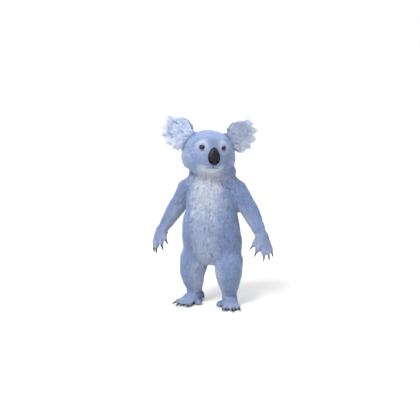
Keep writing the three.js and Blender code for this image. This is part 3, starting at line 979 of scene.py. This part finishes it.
def lids(side, thickness, finish):
    """A ring of lid round an almond opening: its section, spun, then drawn to the opening's shape."""
    radius = eye_radius(side)
    bm = bmesh.new()
    ring = []
    for angle, share in LID_FRONT + LID_BACK:
        away = SPUN_AT + math.radians(angle)
        reach = radius * LID_REACH + thickness * share
        ring.append(bm.verts.new((reach * math.sin(away), 0, reach * math.cos(away))))
    edges = [bm.edges.new((a, b)) for a, b in zip(ring, ring[1:] + ring[:1])]
    bmesh.ops.spin(bm, geom=ring + edges, axis=(0, 0, 1), angle=math.tau, steps=80, use_merge=True)
    for vert in bm.verts:
        reach = vert.co.length
        turn = math.atan2(vert.co.y, vert.co.x)
        beyond = math.acos(vert.co.z / reach) - SPUN_AT
        across, up = math.cos(turn), math.sin(turn)
        away = math.asin(min(1 / lid_share(across, up), 0.98)) + beyond
        reach += HOOD * max(0, up) * math.exp(-(((math.degrees(beyond) - 9) / 7) ** 2))
        vert.co = (reach * math.sin(away) * across, reach * math.sin(away) * up, reach * math.cos(away))
    bmesh.ops.recalc_face_normals(bm, faces=bm.faces)
    place_eye_form("lids", bm, side, LIDS_FACE, finish, "nose_leather")


class KOALA_OT_eyes(bpy.types.Operator):
    """Make both eyeballs and the lids round them"""

    bl_idname = "koala.eyes"
    bl_label = "Eyes and lids"

    def execute(self, context):
        face = context.scene.koala_face
        wet = eye_finish(tuple(face.iris))
        leather = leather_finish("lid", 1800.0, 0.45)
        for side in SIDES:
            eyeball(side, wet)
            lids(side, face.lid_thickness, leather)
        return {"FINISHED"}


# ---- Nose and lips --------------------------------------------------------------------------------

NOSE_HALF = Vector((22, 15, 32)) * MM
NOSE_SLOPE = math.radians(-14)
# Shares of the nose, across and up: the middle of the bend that a nostril follows, and its half sizes.
NOSTRIL_MIDDLE, NOSTRIL_BEND = Vector((0.44, -0.34)), Vector((0.34, 0.37))
NOSTRIL_DEPTH, GROOVE_DEPTH, PLANE_DEPTH = 0.62, 0.12, 0.1  # shares of the nose's half thickness


def nose_taper(up):
    """How wide the nose is at a height from -1 to 1: narrower above."""
    return 1 - 0.16 * up - 0.1 * up * up


def nostril(across, up):
    """1 in a nostril's slit, a comma from its round lower end up the side of the nose, and 0 off it."""
    spot = Vector((abs(across), up)) - NOSTRIL_MIDDLE
    bent = Vector((spot.x / NOSTRIL_BEND.x, spot.y / NOSTRIL_BEND.y))
    turn = math.degrees(math.atan2(bent.y, bent.x))
    half = 0.13 - 0.07 * ramp(turn, -105, 25)
    off = abs(bent.length - 1) * NOSTRIL_BEND.x
    return ramp(off, half, half * 0.35) * (ramp(turn, 38, 12) * ramp(turn, -128, -108))


class KOALA_OT_nose(bpy.types.Operator):
    """Make the bare nose, with its nostrils and the groove under it"""

    bl_idname = "koala.nose"
    bl_label = "Nose"

    def execute(self, context):
        bm = bmesh.new()
        bmesh.ops.create_uvsphere(bm, u_segments=128, v_segments=96, radius=1)
        for vert in bm.verts:
            x, y, z = vert.co
            taper = nose_taper(z)
            groove = math.exp(-((x / 0.07) ** 2)) * ramp(z, -0.2, -0.6)
            plane = PLANE_DEPTH * math.exp(-((z + 0.1) / 0.5) ** 2 - (x / 0.5) ** 2)
            dent = NOSTRIL_DEPTH * nostril(x / taper, z) + GROOVE_DEPTH * groove + plane
            dent *= ramp(-y, 0.0, 0.35)
            vert.co = (x * taper * NOSE_HALF.x, (y + dent) * NOSE_HALF.y, z * NOSE_HALF.z)
        bmesh.ops.smooth_vert(
            bm, verts=bm.verts, factor=0.5, use_axis_x=True, use_axis_y=True, use_axis_z=True
        )
        bmesh.ops.transform(bm, matrix=Matrix.Rotation(NOSE_SLOPE, 4, "X"), verts=bm.verts)
        bmesh.ops.transform(bm, matrix=HEAD_AXES.to_4x4(), verts=bm.verts)
        bmesh.ops.translate(bm, vec=from_head(0, -NOSE_AHEAD, -NOSE_DOWN), verts=bm.verts)
        place_bmesh("nose_pad", bm, leather_finish("nose", 900.0, 0.36), "nose_leather", ["nose"])
        return {"FINISHED"}


def tube(bm, points, radii, around=8):
    """Adds a closed round tube through points to a bmesh, and returns its rings of vertices."""
    forward = (points[1] - points[0]).normalized()
    turn = forward.to_track_quat("Z", "Y").to_matrix().to_4x4()
    start = Matrix.Translation(points[0]) @ turn
    made = bmesh.ops.create_circle(bm, cap_ends=False, segments=around, radius=radii[0], matrix=start)
    rings = [made["verts"]]
    edges = list({edge for vert in rings[0] for edge in vert.link_edges})
    bmesh.ops.contextual_create(bm, geom=edges)
    for before, here, radius, last in zip(points, points[1:], radii[1:], radii):
        grown = bmesh.ops.extrude_edge_only(bm, edges=edges)["geom"]
        ring = [item for item in grown if isinstance(item, bmesh.types.BMVert)]
        edges = [item for item in grown if isinstance(item, bmesh.types.BMEdge)]
        swing = forward.rotation_difference((here - before).normalized()).to_matrix()
        forward = (here - before).normalized()
        for vert in ring:
            vert.co = here + swing @ (vert.co - before) * (radius / last)
        rings.append(ring)
    bmesh.ops.contextual_create(bm, geom=edges)
    return rings


def on_skin(tree, across, up):
    """The skin's point straight behind a place in front of the face, and its normal."""
    return tree.ray_cast(from_head(across, -0.2, up), HEAD_AXES @ Vector((0, 1, 0)))[:2]


WHISKER_RADIUS, WHISKER_ROOT = 0.16 * MM, 2 * MM
WHISKER_SAG = 3.5  # of the tip, in millimetres


def whiskers(tree):
    """Rows of fine stiff hairs on the sides of the muzzle, which sag a little towards their tips."""
    bm = bmesh.new()
    rng = np.random.default_rng(5)
    for sign, row, number in product(SIDES.values(), range(3), range(4)):
        across = sign * (25 + 5 * number + rng.uniform(-1, 1)) * MM
        root, normal = on_skin(tree, across, (-22 - 8 * row + rng.uniform(-1, 1)) * MM)
        if root is None:
            continue
        way = (normal + HEAD_AXES @ Vector((sign * 0.9, -0.1, -0.15 - 0.1 * row))).normalized()
        reach = rng.uniform(20, 30) * MM
        sag = Vector((0, 0, -1)) * WHISKER_SAG * MM
        steps = [0, 0.3, 0.6, 0.85, 1]
        points = [root + way * (reach * step - WHISKER_ROOT) + sag * step * step for step in steps]
        tube(bm, points, [WHISKER_RADIUS * (1.02 - step) for step in steps], 5)
    bmesh.ops.recalc_face_normals(bm, faces=bm.faces)
    dark = Finish("whisker", srgb(60, 58, 62), roughness=0.4)
    tone = dark.mix(dark.span(dark.noise(90, 2), 0.35, 0.65), srgb(42, 40, 44), srgb(92, 90, 96))
    place_bmesh("whiskers", bm, dark.use(tone), "horn")


# In millimetres: the lips' radius at the middle, how much less it is at the corners, and how far the
# lips' middle line stands out of the skin.
LIP_RADIUS, LIP_TAPER, LIP_RISE = 1.45, 1.1, 0.6
LINE_RADIUS, LINE_STEP = 0.9 * MM, 1.1 * MM  # of the line from the lips to the nose


class KOALA_OT_lips(bpy.types.Operator):
    """Make the lips, the line from them to the nose, and the whiskers"""

    bl_idname = "koala.lips"
    bl_label = "Lips and whiskers"

    def execute(self, context):
        skin = bpy.data.objects["skin"].data
        tree = BVHTree.FromPolygons([v.co for v in skin.vertices], [p.vertices for p in skin.polygons])
        bm = bmesh.new()
        shares = [step / 22 for step in range(-22, 23)]
        spots = [on_skin(tree, share * MOUTH_HALF, mouth_line(share)) for share in shares]
        points = [spot + normal * LIP_RISE * MM for spot, normal in spots]
        tube(bm, points, [(LIP_RADIUS - LIP_TAPER * abs(share) ** 2.5) * MM for share in shares])
        points = [on_skin(tree, 0, MOUTH_UP + step * LINE_STEP)[0] for step in range(10)]
        tube(bm, points, [LINE_RADIUS] * len(points))
        bmesh.ops.recalc_face_normals(bm, faces=bm.faces)
        place_bmesh("lips", bm, leather_finish("lip", 1500.0, 0.4), "nose_leather")
        whiskers(tree)
        return {"FINISHED"}


# ---- Claws ----------------------------------------------------------------------------------------

CLAW_ROOT = 0.34  # how far a claw goes on into its digit, as a share of its length
CLAW_FLATNESS = 0.74  # a claw's width as a share of its depth
CLAW_FULLNESS = 1.16  # a claw's radius as a share of its solid's
CLAW_RINGS, CLAW_SIDES = 20, 14


def claw_form(node, digits):
    """A claw's bend, as coefficients of its middle line from root 0 to tip 1, and its root's radius."""
    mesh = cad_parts[node].data
    spots = np.unique(np.round([vert.co[:] for vert in mesh.vertices], 6), axis=0)
    spots = spots[np.argsort(np.linalg.norm(spots - digits, axis=1))]
    rings = np.array_split(spots, 4)
    centres = np.array([ring.mean(axis=0) for ring in rings])
    radius = np.linalg.norm(rings[0] - centres[0], axis=1).max()
    return np.polyfit([0, 1 / 3, 2 / 3, 1], centres, 2), CLAW_FULLNESS * radius


def claw_set(side, end, finish):
    """The claws of one hand or foot: flattened hooks that taper to a point, rooted in their digits."""
    bm = bmesh.new()
    mark = bm.verts.layers.float.new("along")
    digits = np.array(middle(side, end))
    nodes = [f"{side}_{claw}" for claw in CLAWS[end]]
    for node in nodes:
        bend, radius = claw_form(node, digits)
        shares = np.linspace(-CLAW_ROOT, 1, CLAW_RINGS)
        path = [Vector(bend[0] * share**2 + bend[1] * share + bend[2]) for share in shares]
        tapers = [(1.02 - max(share, 0) ** 1.5) ** 0.75 for share in shares]
        rings = tube(bm, path, [radius * taper for taper in tapers], CLAW_SIDES)
        sideways = Vector(bend[0]).cross(Vector(bend[1])).normalized()
        for ring, centre, share in zip(rings, path, shares):
            for vert in ring:
                off = (vert.co - centre).dot(sideways)
                vert.co -= sideways * off * (1 - CLAW_FLATNESS)
                vert[mark] = max(share, 0)
    bmesh.ops.recalc_face_normals(bm, faces=bm.faces)
    place_bmesh(f"{side}_{end}_claws", bm, finish, "horn", nodes)


class KOALA_OT_claws(bpy.types.Operator):
    """Make the claws of the hands and feet"""

    bl_idname = "koala.claws"
    bl_label = "Claws"

    def execute(self, context):
        finish = horn_finish(tuple(context.scene.koala_face.horn))
        for side, end in product(SIDES, CLAWS):
            claw_set(side, end, finish)
        return {"FINISHED"}


# ---- Coat -----------------------------------------------------------------------------------------

PATCH = 0.003  # size of one tuft on the coat's map
BARE_LIMIT = 0.55  # no tuft grows where the skin is barer
ROOT_DEPTH = 0.8  # how deep in the skin a tuft starts, in millimetres
LOOSE = 0.04  # share of the tufts that stand out of their locks
CORNERS = 5  # of a tuft: its root, three part of the way along and its tip
SHADES = (0.94, 0.94, 1.0, 1.16)  # of the corners after the root
TRIANGLES = np.array([[0, 2, 1], [0, 3, 2], [0, 1, 3], [1, 2, 4], [2, 3, 4], [3, 1, 4]])
FLEECE = 0.6  # how far the upper side of a tuft is shaded as the skin under it rather than on its own
FLAT_TUFT = np.array([[0.5, 0.0], [0.0, 0.45], [0.66, 0.45], [0.33, 0.45], [0.5, 1.0]])


class Roots:
    """Where tufts stand on a share of the skin, and what they take from it there."""

    def __init__(self, mesh, chosen, rng, fullness):
        mesh.calc_loop_triangles()
        corners = read(mesh.loop_triangles, "vertices", 3, np.int32)
        corners = corners[chosen[corners[:, 0]]]
        points = points_of(mesh)
        a, b, c = (points[corners[:, i]] for i in range(3))
        areas = np.linalg.norm(np.cross(b - a, c - a), axis=1) / 2 / MM**2
        spacing = painted(mesh, "spacing") * closeness(points)
        density = fullness * (painted(mesh, "bare") < BARE_LIMIT) / spacing**2
        wanted = areas * density[corners].mean(axis=1)
        corners = np.repeat(corners, np.floor(wanted + rng.random(len(wanted))).astype(int), axis=0)
        u, v = rng.random((2, len(corners)))
        over = u + v > 1
        u[over], v[over] = 1 - u[over], 1 - v[over]
        weights = np.column_stack([1 - u - v, u, v])

        def at_root(values):
            return np.einsum("nk,nk...->n...", weights, values[corners])

        self.points = at_root(points)
        self.normals = unit(at_root(normals_of(mesh)))
        self.flows = unit(at_root(painted(mesh, "flow")))
        self.lengths = at_root(painted(mesh, "length"))
        self.hues = at_root(painted(mesh, "hue")[:, :3])
        self.spacings = at_root(spacing)
        self.widths = at_root(painted(mesh, "width"))
        self.lifts = np.radians(at_root(painted(mesh, "lift")))
        self.parts = painted(mesh, "part")[corners[:, 0]]

    def keep(self, chosen):
        for name, values in vars(self).items():
            setattr(self, name, values[chosen])

    def __len__(self):
        return len(self.points)


NOSE_SPOT = [0, -NOSE_AHEAD / MM, -NOSE_DOWN / MM]
LEFT_EYE_SPOT = [37, -62, 18]


def closeness(points):
    """Tufts stand closer on the face, where they are short, and closest round the eyes."""
    head = in_head(points) / MM
    from_nose = np.linalg.norm(head - NOSE_SPOT, axis=1)
    head[:, 0] = np.abs(head[:, 0])
    from_eye = np.linalg.norm(head - LEFT_EYE_SPOT, axis=1)
    return 1 - 0.34 * ramp(from_nose, 110, 50) - 0.16 * ramp(from_eye, 32, 16)


NOSE_COVER = 0.94  # the nose covers the coat's edge this far out, as a share of its size
LIP_MARGIN, GROOVE_MARGIN = 1.7, 1.2  # how far tufts keep off them, in millimetres


def clear_of_face(roots):
    """True for tufts that keep off the eyes, the nose and the lips."""
    head = in_head(roots.points) / MM
    free = np.ones(len(head), bool)
    for side in SIDES:
        away = roots.points - np.array(middle(side, "eye"))
        local = away @ np.array(eye_axes(side, LIDS_FACE)) / eye_radius(side)
        inside = lid_share(local[:, 0], local[:, 1]) < LID_COVER
        free &= ~(inside & (np.linalg.norm(local, axis=1) < 2))
    slope = np.array(Matrix.Rotation(NOSE_SLOPE, 3, "X"))
    nose = (head - NOSE_SPOT) @ slope / (np.array(NOSE_HALF) / MM)
    nose[:, 0] /= nose_taper(nose[:, 2])
    free &= np.linalg.norm(nose, axis=1) > NOSE_COVER
    x, y, z = head.T
    lip = (lips_distance(head * MM) < LIP_MARGIN) & (np.abs(x) < MOUTH_HALF / MM)
    groove = (np.abs(x) < GROOVE_MARGIN) & (z > MOUTH_UP / MM) & (z < -36) & (y < -50)
    return free & ~lip & ~groove


FRINGE_LOBES = (50, 14, -20, -54, -86)  # where they are round an ear, in degrees up from straight out


def ear_changes(roots):
    """Long loose hair in the hollow and on the rim of an ear, gathered into the tufts of its fringe."""
    on_ear = KINDS[roots.parts] == "ear"
    out, up = ear_place(in_head(roots.points))
    facing = -(roots.normals @ HEAD_ROWS)[:, 1]
    angle = np.degrees(np.arctan2(up, out))
    lobes = np.max([bell(angle - at, 13) for at in FRINGE_LOBES], axis=0)
    rim = ramp(np.hypot(out, up), 0.42, 0.75) * ramp(angle, 92, 60) * ramp(angle, -140, -105)
    share = 1 + rim * (0.45 + 0.75 * lobes) + 0.35 * ramp(facing, 0.1, 0.6)
    roots.lengths = np.where(on_ear, roots.lengths * share, roots.lengths)
    roots.lifts = np.where(on_ear, roots.lifts * (1 + 0.3 * ramp(facing, 0.0, 0.5)), roots.lifts)


def leaders(roots, sizes, rng):
    """For each tuft, the number of the tuft that leads its lock. Locks are about sizes apart."""
    chosen = np.flatnonzero(rng.random(len(roots)) < (roots.spacings / sizes) ** 2)
    tree = KDTree(len(chosen))
    for number in chosen:
        tree.insert(roots.points[number], number)
    tree.balance()
    return np.fromiter((tree.find(point)[1] for point in roots.points), int, len(roots))


def bent(points, ways, normals, lifts, reaches):
    """Middles and tips of hairs that rise from the skin and then lie back along it."""
    half = (reaches * MM / 2)[:, None]
    steep = np.minimum(lifts * 1.35, np.pi / 2)[:, None]
    shallow = np.where(lifts > 0.7, lifts, lifts * 0.5)[:, None]
    middles = points + half * (np.cos(steep) * ways + np.sin(steep) * normals)
    return middles, middles + half * (np.cos(shallow) * ways + np.sin(shallow) * normals)


# How strongly a tuft is drawn to the tip of its leader, and how far a leader turns from the flow, in
# radians. A lock is a small bunch of tufts, and a shock a broad one.
SHOCK_PULL, LOCK_PULL = (0.14, 0.14), (0.5, 0.18)


def tufts(roots, rng):
    """The corners of each tuft: a blade that leans with the coat and is drawn to its lock's leader."""
    count = len(roots)
    long = ramp(roots.lengths, 4, 18)
    inward = dot(roots.flows, roots.normals)[:, None]
    ways = unit(roots.flows - inward * roots.normals)
    across = unit(np.cross(roots.normals, ways))

    lock = leaders(roots, np.clip(1.6 + 0.24 * roots.lengths, 2.4, 8), rng)
    shock = leaders(roots, np.clip(6 + 0.8 * roots.lengths, 9, 26), rng)
    own = unit(ways + across * (rng.normal(0, 0.14, count) * (0.5 + long))[:, None])
    outward = np.arcsin(np.clip(inward[:, 0], 0, 1))  # on a rim the coat flows straight out of the skin
    base_lifts = np.maximum(roots.lifts, 0.6 * outward)
    lifts = base_lifts * np.clip(rng.normal(1, 0.2, count), 0.5, 1.6)
    reaches = roots.lengths * np.clip(rng.normal(1, 0.13, count), 0.65, 1.35)
    loose = rng.random(count) < LOOSE
    lifts = np.where(loose, lifts * 1.35, lifts)
    reaches = np.where(loose, reaches * 1.15, reaches)
    middles, tips = bent(roots.points, own, roots.normals, lifts, reaches)

    for lead, (strength, spread) in ((shock, SHOCK_PULL), (lock, LOCK_PULL)):
        turned = unit(ways + across * (rng.normal(0, spread, count) * (0.4 + long))[:, None])
        lead_lifts = base_lifts * np.clip(rng.normal(1, 0.16, count), 0.6, 1.4)
        lead_reaches = roots.lengths * np.clip(rng.normal(1, 0.08, count), 0.8, 1.2)
        lead_middles, lead_tips = bent(roots.points, turned, roots.normals, lead_lifts, lead_reaches)
        pull = (strength * (0.3 + 0.7 * long) * rng.uniform(0.6, 1.25, count))[:, None]
        apart = np.linalg.norm(lead_tips[lead] - tips, axis=1) / (reaches * MM)
        alike = dot(roots.normals, roots.normals[lead])
        pull *= (ramp(apart, 2.8, 1.6) * ramp(alike, -0.5, 0.3))[:, None]
        tips = tips + (lead_tips[lead] - tips) * pull
        middles = middles + (lead_middles[lead] - middles) * pull * 0.4

    fine = 0.6 + 0.4 * ramp(roots.lengths, 3, 11)
    width = (roots.widths * fine * rng.uniform(0.8, 1.25, count) * MM)[:, None]
    slant = unit(np.cross(roots.normals, own) + roots.normals * rng.normal(0, 0.3, (count, 1)))
    up = unit(np.cross(middles - roots.points, slant))
    corners = np.empty((count, CORNERS, 3))
    corners[:, 0] = roots.points - roots.normals * ROOT_DEPTH * MM
    corners[:, 1] = middles - slant * width / 2
    corners[:, 2] = middles + slant * width / 2
    corners[:, 3] = middles + up * width * 0.4
    corners[:, 4] = tips
    corners[:, 1:, 2] = np.maximum(corners[:, 1:, 2], corners[:, :1, 2] * 0.2 + 0.3 * MM)
    return corners, lock


def unrolled(points):
    """Places from 0 to 1 on a map: the points rolled out round their longest axis."""
    apart = points - points.mean(axis=0)
    _, _, axes = np.linalg.svd(apart[:: max(1, len(apart) // 4000)], full_matrices=False)
    local = apart @ axes.T
    facing = np.angle(np.exp(1j * np.arctan2(local[:, 1], local[:, 2])).sum())
    around = np.angle(np.exp(1j * (np.arctan2(local[:, 1], local[:, 2]) - facing)))
    flat = np.column_stack([around, local[:, 0]])
    low, high = flat.min(axis=0), flat.max(axis=0)
    return 0.01 + 0.975 * (flat - low) / (high - low)


def coat_mesh(name, roots, rng):
    """One piece of the coat: its tufts as closed meshes, with soft shading, a map and colours."""
    corners, lock = tufts(roots, rng)
    points = corners.reshape(-1, 3)
    local = corners - corners[:, :1]
    blades = local[:, TRIANGLES]
    volumes = np.einsum("nti,nti->n", blades[:, :, 0], np.cross(blades[:, :, 1], blades[:, :, 2]))
    order = np.where((volumes < 0)[:, None, None], TRIANGLES[:, ::-1], TRIANGLES)
    faces = (order + CORNERS * np.arange(len(roots))[:, None, None]).reshape(-1, 3)

    mesh = bpy.data.meshes.new(name)
    mesh.vertices.add(len(points))
    mesh.loops.add(faces.size)
    mesh.polygons.add(len(faces))
    mesh.vertices.foreach_set("co", points.astype(np.float32).ravel())
    mesh.loops.foreach_set("vertex_index", faces.astype(np.int32).ravel())
    mesh.polygons.foreach_set("loop_start", np.arange(0, faces.size, 3, dtype=np.int32))
    mesh.polygons.foreach_set("loop_total", np.full(len(faces), 3, np.int32))
    mesh.update(calc_edges=True)
    mesh.shade_smooth()
    fleece = np.repeat(roots.normals, CORNERS, axis=0)
    own = normals_of(mesh)
    stands = ramp(dot(unit(local[:, -1]), roots.normals), 0.4, 0.8)
    share = FLEECE * np.maximum(ramp(dot(own, fleece), -0.4, 0.8), np.repeat(stands, CORNERS))[:, None]
    mesh.normals_split_custom_set_from_vertices(unit(own + (fleece - own) * share))

    spots = (unrolled(roots.points)[:, None] + FLAT_TUFT * PATCH).reshape(-1, 2)
    layer = mesh.uv_layers.new(name="OFBake")
    layer.data.foreach_set("uv", spots[faces.ravel()].astype(np.float32).ravel())
    paint(mesh, "hair", "FLOAT_COLOR", hair_colours(roots, lock, rng))
    return mesh


def hair_colours(roots, lock, rng):
    """Painted shade at the root, a paler tip, and locks and single tufts that differ a little."""
    count = len(roots)
    bright = roots.hues.max(axis=1)
    tone = np.clip(rng.normal(1, 0.06, count)[lock] * rng.normal(1, 0.08, count), 0.7, 1.3)
    speck = rng.random(count)
    tone = np.where((speck < 0.08) & (bright < 0.6), tone * 0.74, tone)
    tone = np.where(speck > 0.92, tone * 1.2, tone)
    # painted shade: grey hair is darker at its root, deep in the coat; pale hair is not
    root = 0.68 + 0.4 * ramp(bright, 0.3, 0.7)
    colours = np.ones((count, CORNERS, 4))
    for corner, share in enumerate((root, *SHADES)):
        colours[:, corner, :3] = np.clip(roots.hues * (tone * share)[:, None], 0, 0.9)
    return colours


# Where the coat is divided, and the parts of the body that its pieces on either side cover.
FACE_BACK, TRUNK_MIDDLE, WAIST = -22 * MM, 6 * MM, 340 * MM
LIMB_REGIONS = {
    "ear": ["ear"],
    "arm": ["upper_arm", "forearm"],
    "hand": ["hand"],
    "leg": ["thigh", "shank"],
    "foot": ["foot"],
}


def coat_regions(mesh):
    """Names of the coat's pieces, and which of the skin's vertices each grows on."""
    parts = np.array(FLESH)[painted(mesh, "part")]
    points = points_of(mesh)
    ahead = in_head(points)[:, 1] < FACE_BACK
    front = points[:, 1] < TRUNK_MIDDLE
    high = points[:, 2] > WAIST
    head, trunk = parts == "head", parts == "trunk"
    regions = {
        "coat_face": head & ahead,
        "coat_crown": head & ~ahead,
        "coat_neck": parts == "neck",
        "coat_chest": trunk & front & high,
        "coat_belly": trunk & front & ~high,
        "coat_back": trunk & ~front & high,
        "coat_rump": trunk & ~front & ~high,
    }
    for side, (region, names) in product(SIDES, LIMB_REGIONS.items()):
        regions[f"coat_{side}_{region}"] = np.isin(parts, [f"{side}_{name}" for name in names])
    return regions


class KOALA_OT_coat(bpy.types.Operator):
    """Grow the coat on the skin, in closed tufts that follow the lie of the hair"""

    bl_idname = "koala.coat"
    bl_label = "Coat"

    def execute(self, context):
        coat = context.scene.koala_coat
        skin = bpy.data.objects["skin"].data
        finish = coat_finish()
        fullness = coat.fullness * 1
        for number, (name, chosen) in enumerate(coat_regions(skin).items()):
            rng = np.random.default_rng(coat.seed + number)
            roots = Roots(skin, chosen, rng, fullness)
            roots.keep(clear_of_face(roots))
            ear_changes(roots)
            slot = "pale_coat" if name.endswith("foot") else "coat"
            place(name, coat_mesh(name, roots, rng), finish, slot)
        return {"FINISHED"}


# ---- Studio ---------------------------------------------------------------------------------------

FLOOR_RADIUS = 60
LIGHTS_AWAY = 3
AIM_ABOVE = 0.014  # how far over the model's middle the camera looks, as a share of its height
# Of each light: its azimuth from the camera's and its elevation, its share of the key light's strength,
# and how broad it is, in degrees.
LIGHTS = {"key": (-0.7, 0.85, 1.0, 26), "rim": (2.6, 0.7, 0.3, 40)}


def aim(thing, centre, azimuth, elevation, distance):
    """Stands a light or camera off from a centre, and points it there. Azimuth 0 is before the model."""
    flat = math.cos(elevation)
    out = Vector((math.sin(azimuth) * flat, -math.cos(azimuth) * flat, math.sin(elevation)))
    thing.location = centre + out * distance
    thing.rotation_euler = (centre - thing.location).to_track_quat("-Z", "Y").to_euler()


class KOALA_OT_studio(bpy.types.Operator):
    """Make the floor, the lights and the camera"""

    bl_idname = "koala.studio"
    bl_label = "Studio"

    def execute(self, context):
        scene = context.scene
        studio = scene.koala_studio
        low, high = (Vector(corner) for corner in CAD_BOX)
        centre = (low + high) / 2
        height = high.z - low.z

        bm = bmesh.new()
        bmesh.ops.create_circle(bm, cap_ends=True, segments=96, radius=FLOOR_RADIUS)
        pale = (studio.floor,) * 3
        finish = Finish("floor", pale, roughness=0.7, specular=0.2)
        finish.use(finish.mix(finish.noise(0.6, 3), pale, toned(pale, 1.03)))
        floor = linked("floor", mesh_of("floor", bm))
        floor.data.materials.append(finish.material)

        world = bpy.data.worlds.new("studio")
        world.use_nodes = True
        sky = world.node_tree.nodes["Background"]
        sky.inputs["Color"].default_value = (1, 1, 1, 1)
        sky.inputs["Strength"].default_value = 1.0
        scene.world = world
        scene.view_settings.view_transform = "Standard"

        data = bpy.data.cameras.new("camera")
        data.angle = studio.angle
        scene.camera = linked("camera", data)
        distance = height / studio.filled / 2 / math.tan(studio.angle / 2)
        above = Vector((0, 0, AIM_ABOVE * height))
        aim(scene.camera, centre + above, studio.azimuth, studio.elevation, distance)

        for name, (turn, elevation, share, spread) in LIGHTS.items():
            data = bpy.data.lights.new(name, "SUN")
            data.energy = studio.key * share
            data.angle = math.radians(spread)
            aim(linked(name, data), centre, studio.azimuth + turn, elevation, LIGHTS_AWAY)
        return {"FINISHED"}


# ---- Add-on ---------------------------------------------------------------------------------------


class KOALA_PT_panel(bpy.types.Panel):
    """Sizes and colours of the koala, and the steps that make it"""

    bl_idname = "KOALA_PT_panel"
    bl_label = "Koala"
    bl_space_type = "VIEW_3D"
    bl_region_type = "UI"
    bl_category = "Koala"

    def draw(self, context):
        for group in SETTINGS:
            box = self.layout.box()
            settings = getattr(context.scene, group)
            for name in settings.bl_rna.properties.keys():
                if name not in ("rna_type", "name"):
                    box.prop(settings, name)
        for step in STEPS:
            self.layout.operator(step.bl_idname)


SETTINGS = {"koala_coat": KoalaCoat, "koala_face": KoalaFace, "koala_studio": KoalaStudio}
STEPS = (
    KOALA_OT_studio,
    KOALA_OT_skin,
    KOALA_OT_eyes,
    KOALA_OT_nose,
    KOALA_OT_lips,
    KOALA_OT_claws,
    KOALA_OT_coat,
)


def register():
    for thing in (*SETTINGS.values(), *STEPS, KOALA_PT_panel):
        bpy.utils.register_class(thing)
    for name, group in SETTINGS.items():
        setattr(bpy.types.Scene, name, PointerProperty(type=group))


def unregister():
    for name in SETTINGS:
        delattr(bpy.types.Scene, name)
    for thing in (KOALA_PT_panel, *reversed(STEPS), *SETTINGS.values()):
        bpy.utils.unregister_class(thing)


def main():
    register()
    bpy.ops.koala.studio()
    bpy.ops.koala.skin()
    bpy.ops.koala.eyes()
    bpy.ops.koala.nose()
    bpy.ops.koala.lips()
    bpy.ops.koala.claws()
    bpy.ops.koala.coat()


if __name__ == "__main__":
    main()
